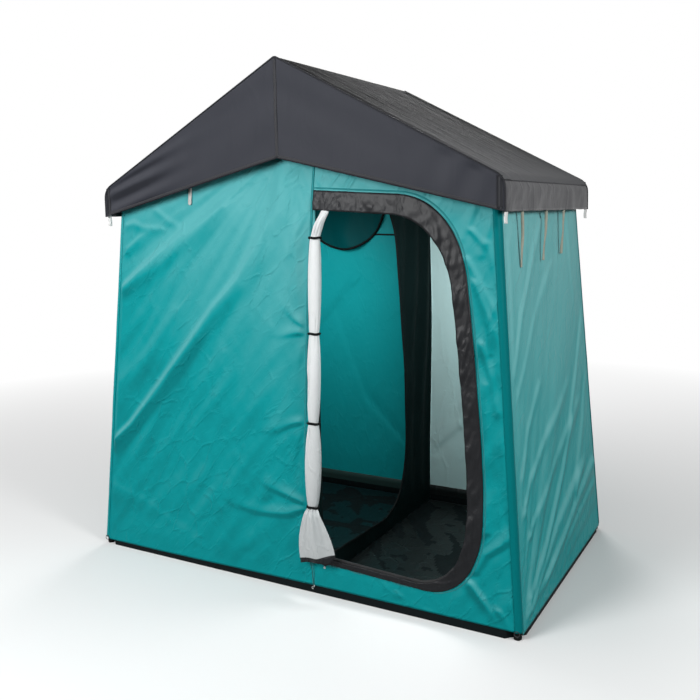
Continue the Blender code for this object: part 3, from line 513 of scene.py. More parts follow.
# The wall cloth
# PU-coated polyester, teal outside; the right room's panels have a white coating inside. Each wall is one
# sheet pulled tight between its corner strips, so it carries long tension folds that run from the corners
# and the ties.
BASE_WIDTH = 2.130
BASE_DEPTH = 1.292
WALL_HEIGHT = 1.596
LEAN_X = (BASE_WIDTH - 1.846) / 2 / WALL_HEIGHT
LEAN_Y = (BASE_DEPTH - 1.106) / 2 / WALL_HEIGHT
HEM_HEIGHT = 0.034
CORNER_RADIUS = 0.021
NET_TOP = 2.1836
ROOF_SLOPE = 0.52005
WALL_TOP = 1.7089
TUB_HEIGHT = 0.090
STRIP_LAP = 0.004
CLOTH = 0.0012
GRID = 0.008
TEAL = (0.0028, 0.248, 0.264)
# What the front's teal pales to, in its mottle and in its painted highlight.
TEAL_PALE = (0.0800, 0.345, 0.362)
# The right-hand corner strips' darker teal, painted shade.
TEAL_PAINTED_SHADE = (0.0010, 0.132, 0.142)
FRONT_TURN = (0.0, -0.70, 0.0)
SIDE_TURN = (0.61, 0.0, 0.0)
ZIP_END = (0.155, 0.125)
ZIP_END_REACH = (0.06, 0.05)
ZIP_END_CALM = 0.9


def coated_cloth(name, colour, pale, roughness=0.45, specular=0.06, crease=0.006, turn=(0, 0, 0), creases=9.0,
                 lines=0.16, mottle=0.6, start=0.38, rises=(), toward=None, contrast=0.0):
    """Coated cloth with soft crumples, thin set creases and a fine weave, between two colours.

    rises are slopes along x, y and z with an offset: it pales by the lowest of them, a painted highlight that
    grows along them. It also pales where it faces toward a direction more than its whole wall does, by which
    toward ends,
    and darkens where it faces less: painted light and shade on the flanks of its folds.
    """
    cloth = finish_for(name, Roughness=roughness, Specular_IOR_Level=specular)
    along = cloth.place((1.0, 1.0, 0.45), turn)
    crumple = cloth.noise(along, creases, 3.0, 0.55, "RIDGED_MULTIFRACTAL", 0.35)
    fine = cloth.noise(along, creases * 3.0, 3.0, 0.6, warp=0.6)
    patches = cloth.noise(cloth.place(), 2.6, 4.0, 0.6)
    threads = cloth.noise(cloth.place((1.0, 1.0, 8.0)), 420.0, 1.0)
    sway = cloth.node("ShaderNodeTexNoise", {}, {"Vector": along, "Scale": creases * 1.3, "Detail": 2.0}, 1)
    bent = cloth.node(
        "ShaderNodeVectorMath", {"operation": "MULTIPLY_ADD"}, {0: sway, 1: (0.04, 0.04, 0.04), 2: along},
    )
    cells = cloth.node(
        "ShaderNodeTexVoronoi", {"feature": "DISTANCE_TO_EDGE"}, {"Vector": bent, "Scale": creases * 1.5},
    )
    line = (1 - cells * 11).held() * (patches * 5 - 1.8).held() * (fine * 5 - 1.85).held()
    crinkle = cloth.noise(bent, creases * 2.6, 2.0, 0.5, "RIDGED_MULTIFRACTAL")
    crinkle = crinkle * (patches * 5 - 2.0).held()
    share = (patches - 0.5) * mottle + (fine - 0.5) * 0.18 + start
    # Painted highlight: the cloth pales along the rises.
    if rises:
        heights = [cloth.dot(cloth.place(), rise[:3]) + rise[3] for rise in rises]
        lowest = heights[0] if len(heights) == 1 else heights[0].least(heights[1])
        share = share + lowest.held() ** 1.5
    # Painted light and shade: paler on flanks that face toward, darker on those that face away.
    if toward is not None:
        facing = cloth.dot(cloth.node("ShaderNodeNewGeometry", output=1), toward[:3])
        share = share + (facing - toward[3]) * contrast
    # Low shares darken the colour towards deep: the cloth's own mottle, and painted shade on flanks that face
    # away.
    deep = tuple(part * 0.70 for part in colour)
    tone = cloth.mix(deep, colour, (share * 3 + 1).held())
    cloth.give("Base Color", cloth.mix(tone, pale, share.held()))
    folds = cloth.bump(crumple * 0.6 + fine * 0.35 + crinkle * 0.20 + line * lines, crease)
    cloth.give("Normal", cloth.bump(threads, 0.00006, under=folds))
    return cloth.owner


# The front's teal pales towards its upper middle, a painted highlight, and is lighter and darker on fold
# flanks facing up and down: painted light and shade.
teal_front = coated_cloth(
    "teal_front", TEAL, TEAL_PALE, crease=0.008, turn=FRONT_TURN, lines=0.32, mottle=0.30, start=-0.04,
    rises=((0.45, 0.0, 1.0, -0.55), (-0.55, 0.0, 1.0, -0.45)), toward=(0.0, 0.0, 1.0, 0.058), contrast=2.6,
)
# The side walls' teal is drawn paler and greyer than the front's, a painted sheen, and pales towards the top
# and on flanks facing forward and up: painted light and shade.
teal_side = coated_cloth(
    "teal_side", (0.007, 0.268, 0.280), (0.162, 0.445, 0.454), crease=0.008, turn=SIDE_TURN, lines=0.34,
    mottle=0.30, start=0.03, rises=((0.0, 0.0, 0.75, -0.25),), toward=(0.0, -0.75, 0.65, 0.058), contrast=1.6,
)
teal_back = coated_cloth("teal_back", TEAL, (0.0100, 0.270, 0.290))
# The front's teal drawn darker for the right-hand corner strips: painted shade.
teal_strip_painted_shade = coated_cloth("teal_strip_painted_shade", TEAL_PAINTED_SHADE, (0.0016, 0.178, 0.190), specular=0.03, crease=0.002)
# The white coating, drawn tinted teal: painted teal light that comes into the room through the walls.
white_coating = coated_cloth(
    "white_coating", (0.40, 0.57, 0.57), (0.48, 0.66, 0.66), 0.55, crease=0.006, creases=5.0, lines=0.3,
)


def half_width(height):
    return BASE_WIDTH / 2 - LEAN_X * height


def half_depth(height):
    return BASE_DEPTH / 2 - LEAN_Y * height


def over_wall(side, end):
    """A function for the point over that wall at a place and a height, out along its normal."""
    normal = Vector((side, end, LEAN_X if side else LEAN_Y)).normalized()

    def point(place, height, out=0.0):
        x, y = (side * half_width(height), place) if side else (place, end * half_depth(height))
        return Vector((x, y, height)) + normal * out

    return point


on_front, on_back, on_right, on_left = over_wall(0, -1), over_wall(0, 1), over_wall(1, 0), over_wall(-1, 0)


def gable_line(across, height=0.0):
    """The height of the walls' top edge under the roof. The height it is asked at is not used."""
    return NET_TOP - ROOF_SLOPE * abs(across)


def left_end(height):
    """Where a front or back wall ends, at the left corner strip."""
    return CORNER_RADIUS - half_width(height)


def right_end(height):
    return half_width(height) - CORNER_RADIUS


def level_hem(across):
    return HEM_HEIGHT


def sagging_hem(across):
    """The front's hem, which hangs lower towards the left corner."""
    return HEM_HEIGHT - 0.011 * ease((0.3 - across) / 1.1)


def ease(share):
    """0 to 1 with level ends."""
    share = min(1.0, max(0.0, share))
    return share * share * (3 - 2 * share)


def near_line(spot, line):
    """The distance from a place to a line, the share along it and the side of it."""
    best, found, side, run = 1e9, 0.0, 1, 0.0
    total = sum((b - a).length for a, b in zip(line, line[1:]))
    for start, end in zip(line, line[1:]):
        way = end - start
        t = min(1.0, max(0.0, (spot - start).dot(way) / way.length_squared))
        off = spot - start - way * t
        if off.length_squared < best:
            best = off.length_squared
            found = (run + t * way.length) / total
            side = 1 if way.x * off.y - way.y * off.x > 0 else -1
        run += way.length
    return math.sqrt(best), found, side


class Folds:
    """The long folds in a wall. Each is its line across the cloth, its reach and its lift from end to end.

    sharp is the side of the lines on which they fall away steeply.
    """

    def __init__(self, folds, sharp=1):
        self.folds = []
        self.sharp = sharp
        for line, reach, lift in folds:
            points = [Vector(point) for point in line]
            widest = 4 * max(reach)
            low = (min(p.x for p in points) - widest, min(p.y for p in points) - widest)
            high = (max(p.x for p in points) + widest, max(p.y for p in points) + widest)
            self.folds.append((points, reach, lift, low, high))

    def lift_at(self, across, height):
        total = 0.0
        spot = Vector((across, height))
        for line, reach, lift, low, high in self.folds:
            if not (low[0] < across < high[0] and low[1] < height < high[1]):
                continue
            off, share, side = near_line(spot, line)
            steep = 0.7 if side == self.sharp else 1.7
            wide = max(0.010, (reach[0] + (reach[1] - reach[0]) * share) * steep)
            tall = 1.15 * (lift[0] + (lift[1] - lift[0]) * share)
            total += tall * math.exp(-(off / wide) ** 2)
        return total


def drawn(across, height, seed, turn, long, short):
    """Soft wrinkles drawn out along a direction, from -1 to 1."""
    c, s = math.cos(turn), math.sin(turn)
    u = (across * c + height * s) / long
    v = (height * c - across * s) / short
    return noise.noise(Vector((u, v, seed)))


def fanned(across, height, focus, seed, count):
    """Folds that fan out from a place, from -1 to 1."""
    way = Vector((across, height)) - Vector(focus)
    turn = math.atan2(way.y, way.x)
    return noise.noise(Vector((turn * count, way.length * 0.25, seed))) * min(1.0, way.length / 0.5)


def wall_panel(name, place, left, right, top, relief, outward, finishes, hole=None, hem=level_hem, edge=0.03):
    """A wall's sheet: a grid between its edges, lifted by its relief, which dies away at the edges."""
    wide = right(1.0) - left(1.0)
    steps = (round(wide / GRID), round(top(0.0, 1.0) / GRID))
    bm = new_grid(*steps)
    for vert in bm.verts:
        share, rise = vert.co.x + 0.5, vert.co.y + 0.5
        height = rise * WALL_TOP
        for _ in range(2):
            across = left(height) + share * (right(height) - left(height))
            height = hem(across) + rise * (top(across, height) - hem(across))
        vert.co = (across, height, 0)
    if hole is not None:
        cut_hole(bm, hole)
    for vert in bm.verts:
        across, height = vert.co.x, vert.co.y
        room = min(across - left(height), right(height) - across, top(across, height) - height)
        lift = relief(across, height) * ease((room - STRIP_LAP) / edge)
        if lift < 0:
            lift *= ease((height - TUB_HEIGHT) / 0.12)
        lift *= 0.2 + 0.8 * ease((height - hem(across)) / 0.12)
        vert.co = place(across, height, lift)
    panel = end_mesh(name, bm, *finishes, outward=outward)
    give_thickness(panel, CLOTH, lining=len(finishes) > 1)
    return panel


def inside(outline, spot):
    found = False
    for a, b in zip(outline, outline[1:] + outline[:1]):
        if (a.y > spot.y) != (b.y > spot.y):
            if spot.x < a.x + (spot.y - a.y) / (b.y - a.y) * (b.x - a.x):
                found = not found
    return found


def nearest(outline, spot):
    """The nearest point of a closed outline."""
    best, found = 1e9, spot
    for a, b in zip(outline, outline[1:] + outline[:1]):
        way = b - a
        t = min(1.0, max(0.0, (spot - a).dot(way) / max(way.length_squared, 1e-12)))
        point = a + way * t
        if (point - spot).length_squared < best:
            best = (point - spot).length_squared
            found = point
    return found


def cut_hole(bm, outline):
    """Opens a flat grid along an outline: the faces inside it go, and the hole's edge is drawn onto it."""
    gone = [face for face in bm.faces if inside(outline, face.calc_center_median().to_2d())]
    around = {vert for face in gone for vert in face.verts}
    bmesh.ops.delete(bm, geom=gone, context="FACES")
    for vert in around:
        if vert.is_valid and vert.link_faces:
            point = nearest(outline, vert.co.to_2d())
            vert.co = (point.x, point.y, 0)


SEAM_PLACES = (
    (0.03, 0.152), (0.11, 0.148), (0.42, 0.117), (0.62, 0.104), (0.86, 0.106), (1.25, 0.111), (1.52, 0.124),
    (1.73, 0.133), (1.79, 0.137), (2.20, 0.140),
)


def front_seam(height):
    """Where the vertical seam beside the door lies: it bows to the left between the ties."""
    for (z0, x0), (z1, x1) in zip(SEAM_PLACES, SEAM_PLACES[1:]):
        if height <= z1:
            return x0 + (x1 - x0) * max(0.0, (height - z0) / (z1 - z0))
    return SEAM_PLACES[-1][1]


FRONT_FOLDS = Folds((
    (((-0.994, 0.513), (-0.868, 0.621), (-0.745, 0.756), (-0.636, 0.878), (-0.503, 1.027), (-0.366, 1.191),
      (-0.236, 1.320), (-0.152, 1.444), (-0.046, 1.603), (-0.007, 1.796)), (0.020, 0.045), (0.012, 0.013)),
    (((-0.985, 1.215), (-0.831, 1.319), (-0.684, 1.417), (-0.552, 1.503), (-0.407, 1.573), (-0.320, 1.626)),
     (0.018, 0.050), (0.013, 0.007)),
    (((-1.013, 0.597), (-0.924, 0.816), (-0.740, 0.989), (-0.594, 1.159)), (0.045, 0.060), (0.006, 0.003)),
    (((-0.926, 1.547), (-0.835, 1.568), (-0.777, 1.546), (-0.663, 1.539)), (0.012, 0.016), (0.004, 0.002)),
    (((-0.878, 1.444), (-0.798, 1.503)), (0.014, 0.014), (0.003, 0.002)),
    (((-0.699, 1.625), (-0.625, 1.574), (-0.588, 1.560)), (0.010, 0.012), (0.003, 0.002)),
    (((0.110, 1.610), (0.049, 1.511), (0.026, 1.440)), (0.012, 0.018), (0.005, 0.002)),
    (((0.114, 1.132), (0.043, 1.168), (-0.013, 1.226)), (0.012, 0.020), (0.006, 0.001)),
    (((0.114, 1.112), (0.059, 1.109), (-0.037, 1.090)), (0.010, 0.018), (0.006, 0.001)),
    (((0.114, 1.093), (0.068, 0.983), (0.052, 0.880)), (0.012, 0.020), (0.005, 0.001)),
    (((0.101, 0.739), (0.045, 0.723), (-0.069, 0.675)), (0.010, 0.020), (0.006, 0.001)),
    (((0.101, 0.708), (0.078, 0.658), (0.038, 0.528)), (0.012, 0.020), (0.005, 0.001)),
    (((0.120, 0.385), (0.055, 0.398), (-0.051, 0.424), (-0.120, 0.450)), (0.010, 0.020), (0.006, 0.001)),
    (((0.120, 0.367), (0.015, 0.322), (-0.144, 0.310), (-0.283, 0.331)), (0.012, 0.022), (0.006, 0.001)),
    (((-0.324, 1.000), (-0.344, 0.607), (-0.345, 0.300)), (0.030, 0.030), (0.002, 0.002)),
    (((-0.069, 1.122), (-0.069, 0.779), (-0.077, 0.400)), (0.026, 0.026), (0.002, 0.002)),
    (((-1.010, 0.300), (-0.800, 0.250), (-0.500, 0.120)), (0.030, 0.030), (0.0012, 0.001)),
    (((0.894, 0.960), (0.907, 0.732), (0.914, 0.400)), (0.010, 0.014), (0.003, 0.005)),
    (((0.959, 1.000), (0.984, 0.729), (1.011, 0.519)), (0.012, 0.012), (0.003, 0.005)),
    (((1.033, 0.434), (0.978, 0.361), (0.915, 0.310), (0.880, 0.240)), (0.016, 0.012), (0.008, 0.004)),
    (((0.859, 0.187), (0.907, 0.131), (0.963, 0.058)), (0.014, 0.014), (0.007, 0.003)),
    (((0.974, 0.100), (1.029, 0.022)), (0.012, 0.012), (0.005, 0.002)),
    (((0.805, 1.423), (0.891, 1.279), (0.949, 1.183)), (0.012, 0.016), (0.006, 0.003)),
    (((0.839, 1.336), (0.906, 1.192), (0.958, 1.060)), (0.012, 0.014), (0.005, 0.004)),
    (((0.831, 1.609), (0.784, 1.499)), (0.014, 0.010), (0.006, 0.002)),
    (((0.884, 1.482), (0.924, 1.367)), (0.010, 0.010), (0.004, 0.002)),
    (((0.902, 1.575), (0.862, 1.440)), (0.008, 0.010), (0.006, 0.003)),
    (((0.934, 1.300), (0.899, 1.190), (0.906, 1.080)), (0.008, 0.010), (0.006, 0.003)),
    (((0.872, 1.110), (0.914, 0.990), (0.942, 0.860)), (0.009, 0.010), (0.005, 0.003)),
    (((0.820, 1.530), (0.866, 1.480)), (0.008, 0.008), (0.005, 0.002)),
    (((0.543, 0.079), (0.689, 0.036)), (0.016, 0.016), (0.003, 0.003)),
))


def front_relief(across, height):
    """How far the front wall's cloth stands out at a place."""
    belly = 0.006 * math.sin(math.pi * ease((across + 1.06) / 1.2)) * math.sin(math.pi * min(1, height / 1.7))
    bulge = 0.010 * math.exp(-((across + 1.02) / 0.16) ** 2) * math.sin(math.pi * min(1.0, height / 1.6)) ** 2
    peak = (0.02, 1.90)
    fans = 0.0055 * fanned(across, height, peak, 3.1, 5.0) + 0.0036 * fanned(across, height, peak, 8.4, 13.0)
    small = 0.0026 * drawn(across, height, 7.7, 0.95, 0.26, 0.055)
    crinkle = 0.0022 * drawn(across, height, 1.3, 0.9, 0.20, 0.06) * ease(0.5 + across * 0.6)
    crinkle += 0.0005 * drawn(across, height, 5.2, 2.0, 0.09, 0.035)
    off_across = (across - ZIP_END[0]) / ZIP_END_REACH[0]
    off_height = (height - ZIP_END[1]) / ZIP_END_REACH[1]
    at_zip_end = math.exp(-off_across ** 2 - off_height ** 2)
    whole = belly + bulge + fans + small + crinkle + FRONT_FOLDS.lift_at(across, height)
    return whole * (1 - ZIP_END_CALM * at_zip_end)


DOOR_OUTLINE_STEPS = 24
DOOR_OUTLINE_SHARES = (
    ((0.000, 1.000), (0.476, 0.986)),
    ((0.476, 0.986), (0.686, 0.984), (0.837, 0.906), (0.877, 0.787)),
    ((0.877, 0.787), (0.916, 0.661), (0.992, 0.368), (1.000, 0.226)),
    ((1.000, 0.226), (1.010, 0.094), (0.909, -0.014), (0.646, 0.000)),
    ((0.646, 0.000), (0.000, 0.014)),
)


def bend(points, steps):
    """Points along a straight run or a cubic, without the first."""
    made = []
    for step in range(1, steps + 1):
        t = step / steps
        if len(points) == 2:
            weights = (1 - t, t)
        else:
            weights = ((1 - t) ** 3, 3 * t * (1 - t) ** 2, 3 * t * t * (1 - t), t ** 3)
        made.append(tuple(sum(w * p[axis] for w, p in zip(weights, points)) for axis in (0, 1)))
    return made


def door_outline(left, right, bottom, top):
    """The doorway's outline between those sides, from its top left corner round to its bottom left one."""
    shares = [DOOR_OUTLINE_SHARES[0][0]]
    for run in DOOR_OUTLINE_SHARES:
        shares += bend(run, DOOR_OUTLINE_STEPS)
    return [Vector((left + u * (right - left), bottom + v * (top - bottom))) for u, v in shares]


front_left = wall_panel(
    "front_cloth_left", on_front, left_end, front_seam, gable_line, front_relief, (0, -1, 0), (teal_front,),
    hem=sagging_hem,
)
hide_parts("front_wall_left")

DOOR_HOLE = door_outline(0.145, 0.851, 0.138, 1.628)
front_right = wall_panel(
    "front_cloth_right", on_front, front_seam, right_end, gable_line, front_relief, (0, -1, 0),
    (teal_front, white_coating), hole=DOOR_HOLE, hem=sagging_hem, edge=0.012,
)
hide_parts("front_wall_right")


# The side walls
# One sheet each, hemmed at the foot. Their folds fan out from the bottom front corner towards the back of
# the eave.
SIDE_FOLDS = Folds((
    (((0.134, 0.831), (-0.167, 0.701), (-0.426, 0.565), (-0.540, 0.460)), (0.030, 0.014), (0.008, 0.006)),
    (((0.325, 0.716), (-0.048, 0.564), (-0.216, 0.490), (-0.480, 0.360)), (0.030, 0.016), (0.008, 0.005)),
    (((0.611, 0.405), (0.225, 0.296), (-0.084, 0.186), (-0.299, 0.124), (-0.560, 0.070)), (0.030, 0.016),
     (0.012, 0.007)),
    (((0.619, 0.292), (0.267, 0.219), (0.019, 0.164)), (0.022, 0.016), (0.006, 0.003)),
    (((-0.238, 0.909), (-0.425, 0.763), (-0.530, 0.594)), (0.022, 0.012), (0.006, 0.005)),
    (((0.317, 0.426), (-0.116, 0.271), (-0.388, 0.146), (-0.590, 0.060)), (0.030, 0.016), (0.010, 0.007)),
    (((-0.548, 0.486), (-0.502, 0.418), (-0.473, 0.355)), (0.012, 0.012), (0.004, 0.004)),
    (((-0.069, 1.553), (-0.288, 1.347), (-0.419, 1.206), (-0.540, 0.980)), (0.024, 0.014), (0.006, 0.006)),
    (((0.027, 1.357), (-0.268, 1.156), (-0.500, 0.920)), (0.030, 0.016), (0.005, 0.004)),
    (((-0.491, 1.480), (-0.505, 1.245), (-0.530, 1.000)), (0.014, 0.014), (0.004, 0.004)),
    (((0.340, 1.560), (0.330, 1.300), (0.380, 1.050)), (0.020, 0.024), (0.004, 0.002)),
    (((0.560, 1.180), (0.300, 0.820), (0.020, 0.480), (-0.260, 0.250), (-0.520, 0.120)), (0.016, 0.030),
     (0.006, 0.010)),
    (((0.600, 0.980), (0.420, 0.620), (0.180, 0.340)), (0.016, 0.030), (0.006, 0.006)),
), sharp=-1)
SIDE_HEM_HEIGHT = 0.020


def side_relief(along, height):
    belly = 0.008 * math.sin(math.pi * (along / 1.292 + 0.5)) * math.sin(math.pi * min(1.0, height / 1.7))
    foot = (-0.68, -0.06)
    fans = 0.0110 * fanned(along, height, foot, 11.2, 6.0) + 0.0022 * fanned(along, height, foot, 4.4, 15.0)
    small = 0.0016 * drawn(along, height, 6.1, 1.15, 0.24, 0.05)
    edge = 0.0030 * drawn(along, height, 2.9, 1.48, 0.26, 0.026) * math.exp(-max(0.0, along + 0.60) / 0.12)
    return belly + fans + small + edge + SIDE_FOLDS.lift_at(along, height)


def left_relief(along, height):
    return side_relief(0.05 - along, height)


for name, place, relief, side in (
    ("right_wall", on_right, side_relief, 1), ("left_wall", on_left, left_relief, -1),
):
    lined = (teal_side, white_coating) if side > 0 else (teal_side,)
    panel = wall_panel(
        f"{name}_cloth", place, lambda z: CORNER_RADIUS - half_depth(z),
        lambda z: half_depth(z) - CORNER_RADIUS, lambda along, height: WALL_TOP, relief, (side, 0, 0), lined,
        hem=lambda along: SIDE_HEM_HEIGHT, edge=0.08,
    )
    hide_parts(name)
    "eave_tube_right" if side > 0 else "eave_tube_left"


# The corner strips
# A strip of the same cloth wraps each corner leg and is sewn to both walls with a flat felled seam. The
# right-hand strips are drawn in a darker teal: painted shade on the rounded corner.
STRIP_LIFT = 0.0016
STRIP_STEPS = 14


def corner_strip(corner, side, end):
    rows = round((WALL_TOP - HEM_HEIGHT) / GRID)
    bm = new_grid(STRIP_STEPS, rows)
    radius = CORNER_RADIUS + STRIP_LIFT
    arc = math.pi / 2 * CORNER_RADIUS
    whole = arc + 2 * STRIP_LAP
    for vert in bm.verts:
        run = (vert.co.x + 0.5) * whole - STRIP_LAP
        height = HEM_HEIGHT - 0.002 + (vert.co.y + 0.5) * (WALL_TOP - HEM_HEIGHT)
        turn = min(math.pi / 2, max(0.0, run / CORNER_RADIUS))
        flat_front = min(0.0, run)
        flat_side = max(0.0, run - arc)
        pucker = 0.0016 * abs(noise.noise(Vector((run / 0.012, height / 0.16, side * 3.3 + end))))
        out = radius + pucker
        x = half_width(height) - CORNER_RADIUS + out * math.sin(turn) + flat_front
        y = half_depth(height) - CORNER_RADIUS + out * math.cos(turn) - flat_side
        vert.co = (side * x, end * y, height)
    # The right-hand strips get the darker teal, painted shade.
    finish = teal_strip_painted_shade if side > 0 else teal_front
    strip = end_mesh(f"corner_strip_{corner}", bm, finish, outward=(side, end, 0))
    give_thickness(strip, CLOTH)


for corner, (side, end) in CORNERS.items():
    corner_strip(corner, side, end)


# The back walls and the window
# The left room's back wall has a half-round window of fine net near its top; inside it a cover of the same
# cloth is sewn along the straight edge and hangs over it. The cover is drawn far darker than the wall's teal,
# painted shade. The right room's back wall is lined white inside.
BACK_SEAM = 0.130
WINDOW_X = -0.350
WINDOW_TOP = 1.660
WINDOW_RADIUS = 0.262
WINDOW_HOLE = 0.242
SHEET = 0.002
GAP = 0.0003
BACK_FOLDS = Folds((
    (((-1.000, 0.420), (-0.700, 0.760), (-0.320, 1.180)), (0.024, 0.040), (0.009, 0.006)),
    (((-0.980, 1.150), (-0.760, 1.340), (-0.620, 1.560)), (0.020, 0.034), (0.008, 0.004)),
    (((0.100, 0.200), (-0.250, 0.560), (-0.420, 1.050)), (0.024, 0.034), (0.007, 0.003)),
    (((1.000, 0.480), (0.720, 0.800), (0.420, 1.240)), (0.024, 0.040), (0.009, 0.005)),
    (((0.980, 1.260), (0.700, 1.420), (0.450, 1.660)), (0.020, 0.030), (0.007, 0.004)),
    (((0.180, 0.300), (0.420, 0.520), (0.760, 0.640)), (0.024, 0.034), (0.006, 0.003)),
    (((0.300, 1.500), (0.340, 1.000), (0.300, 0.500)), (0.024, 0.030), (0.004, 0.003)),
))


def half_round(radius, steps=48):
    """The window's outline, straight along its top and round below."""
    made = []
    for step in range(steps + 1):
        turn = math.pi * step / steps
        made.append(Vector((WINDOW_X - radius * math.cos(turn), WINDOW_TOP - radius * math.sin(turn))))
    return made


def back_relief(across, height):
    spot = Vector((across, height))
    calm = ease((nearest(half_round(WINDOW_HOLE, 16), spot) - spot).length / 0.08)
    broad = 0.0030 * drawn(across, height, 21.4, 0.8, 0.50, 0.15)
    small = 0.0014 * drawn(across, height, 9.9, 1.0, 0.18, 0.05)
    return (broad + small + BACK_FOLDS.lift_at(across, height)) * calm


back_left = wall_panel(
    "back_cloth_left", on_back, left_end, lambda z: BACK_SEAM, gable_line, back_relief, (0, 1, 0),
    (teal_back,), hole=half_round(WINDOW_HOLE),
)
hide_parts("back_wall_left")
back_right = wall_panel(
    "back_cloth_right", on_back, lambda z: BACK_SEAM, right_end, gable_line, back_relief, (0, 1, 0),
    (teal_back, white_coating),
)
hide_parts("back_wall_right")


WINDOW_NET_THICKNESS = 0.0006
NET_MESH = 0.0026
NET_OPEN_SHARE = 0.40
NET_COLOUR = (0.010, 0.011, 0.011)


def net_cloth():
    """Fine net: round holes in rows, cut out by Alpha."""
    net = finish_for("black_net", Roughness=0.8, Specular_IOR_Level=0.2)
    where = net.place()
    sides = [net.node("ShaderNodeSeparateXYZ", {}, {0: where}, axis) for axis in range(3)]
    across = (sides[0] + sides[1]) * (math.tau / NET_MESH)
    up = sides[2] * (math.tau / NET_MESH)
    holes = across.wave() * up.wave()
    tone = net.noise(where, 9.0, 3.0)
    net.give("Base Color", net.mix(NET_COLOUR, tuple(c * 1.8 for c in NET_COLOUR), tone))
    net.give("Alpha", 1 - (holes > (1 - 2 * NET_OPEN_SHARE)))
    return net.owner


def half_round_sheet(name, radius, outward, finish, body, relief):
    steps = round(2 * radius / 0.008)
    bm = new_grid(steps, steps // 2)
    for vert in bm.verts:
        across = WINDOW_X + vert.co.x * 2 * radius
        drop = (0.5 - vert.co.y) * math.sqrt(max(0.0, radius ** 2 - (across - WINDOW_X) ** 2))
        vert.co = on_back(across, WINDOW_TOP - drop, relief(across, WINDOW_TOP - drop))
    bmesh.ops.remove_doubles(bm, verts=bm.verts, dist=0.00005)
    return end_mesh(name, bm, finish, outward=outward, body=body)


black_net = net_cloth()
window_net = half_round_sheet(
    "window_net", WINDOW_HOLE - GAP, (0, 1, 0), black_net, "tent", lambda across, height: -SHEET / 2,
)
give_thickness(window_net, WINDOW_NET_THICKNESS)
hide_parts("window_mesh")


def cover_relief(across, height):
    hang = (WINDOW_TOP - height) / WINDOW_RADIUS
    crumple = noise.noise(Vector((across * 11, height * 5, 2.2)))
    wave = 0.5 + 0.5 * math.sin(across * 25 + 2 * height) + 0.7 * crumple
    return -SHEET - GAP - hang * (0.004 + 0.030 * max(0.0, wave))


# The cover's teal, drawn far darker than the walls': painted shade where it hangs inside the room.
teal_cover_painted_shade = coated_cloth(
    "teal_cover_painted_shade", (0.0005, 0.042, 0.046), (0.001, 0.060, 0.065), specular=0.02, crease=0.004,
)
cover = half_round_sheet(
    "window_cover_cloth", WINDOW_RADIUS, (0, -1, 0), teal_cover_painted_shade, "window_cover_body", cover_relief,
)
give_thickness(cover, CLOTH)
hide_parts("window_cover")
black_piping = coated_cloth("black_piping", (0.003, 0.004, 0.004), (0.009, 0.010, 0.010), 0.6, crease=0.0006)
COVER_PIPING = 0.0065
COVER_PIPING_IN = 0.001
cover_edge = [
    on_back(p.x, p.y, cover_relief(p.x, p.y) - COVER_PIPING_IN)
    for p in half_round(WINDOW_RADIUS - COVER_PIPING_IN, 64)
]
cover_piping = tube("window_cover_piping", cover_edge, COVER_PIPING, black_piping, body="window_cover_body")


def inside_back(across, height, out=0.0):
    """A place over the back wall's inner face, out into the room."""
    return on_back(across, height, -out)


def inside_back_relief(across, height):
    room = min(BACK_SEAM - across, gable_line(across) - height)
    return CLOTH + 0.0006 - back_relief(across, height) * ease((room - STRIP_LAP) / 0.03)


# The groundsheet
# Heavy coated cloth, folded up at its edges into a low tub, with its corners cut back clear of the boots. It
# lies a little wrinkled. Its raised edge is black at the foot, and greyer above that in the left room. The
# floor is drawn teal-tinted in the left room and greyer in the right: painted light of the two rooms.
BOOT_CLEARANCE = 0.0015
FLOOR_GRID = 0.014
TUB_RISE = (0.004, 0.016, 0.035, 0.060, TUB_HEIGHT)
RIM_FOOT = (0.001, 0.040)
ground_cloth = coated_cloth(
    "ground_cloth", (0.0012, 0.0100, 0.0112), (0.0036, 0.0145, 0.0160), 0.50, 0.14, 0.003, creases=8.0,
    lines=0.3,
)
# The right room's floor, drawn greyer than the left room's: painted light of that room.
room_cloth = coated_cloth(
    "room_cloth", (0.0035, 0.0060, 0.0060), (0.0110, 0.0150, 0.0150), 0.42, 0.26, 0.005, creases=7.0,
    lines=0.35,
)
tub_cloth = coated_cloth("tub_cloth", (0.012, 0.030, 0.028), (0.030, 0.052, 0.047), 0.45, 0.1, 0.003)
rim_cloth = coated_cloth("rim_cloth", (0.0025, 0.0045, 0.0050), (0.0060, 0.0095, 0.0100), 0.60, 0.07, 0.003)


def floor_lift(x, y):
    """Wrinkles that stand up from the floor."""
    drawn_out = max(0.0, noise.noise(Vector((x / 0.34, y / 0.07, 0.5)))) if x < BACK_SEAM else 0.0
    crossed = max(0.0, noise.noise(Vector(((x + 0.7 * y) / 0.09, (y - 0.4 * x) / 0.30, 4.5))) - 0.1)
    fine = max(0.0, noise.noise(Vector((x / 0.05, y / 0.06, 9.1))))
    return 0.016 * drawn_out ** 2 + 0.022 * crossed ** 2 + 0.005 * fine ** 2


def cut_corners(bm, across, along):
    """Cuts a sheet's corners off slantwise, each on a line through that place in its own quarter."""
    for side, end in CORNERS.values():
        bmesh.ops.bisect_plane(
            bm, geom=bm.verts[:] + bm.edges[:] + bm.faces[:], plane_co=(side * across, end * along, 0),
            plane_no=(side, end, 0), clear_outer=True,
        )


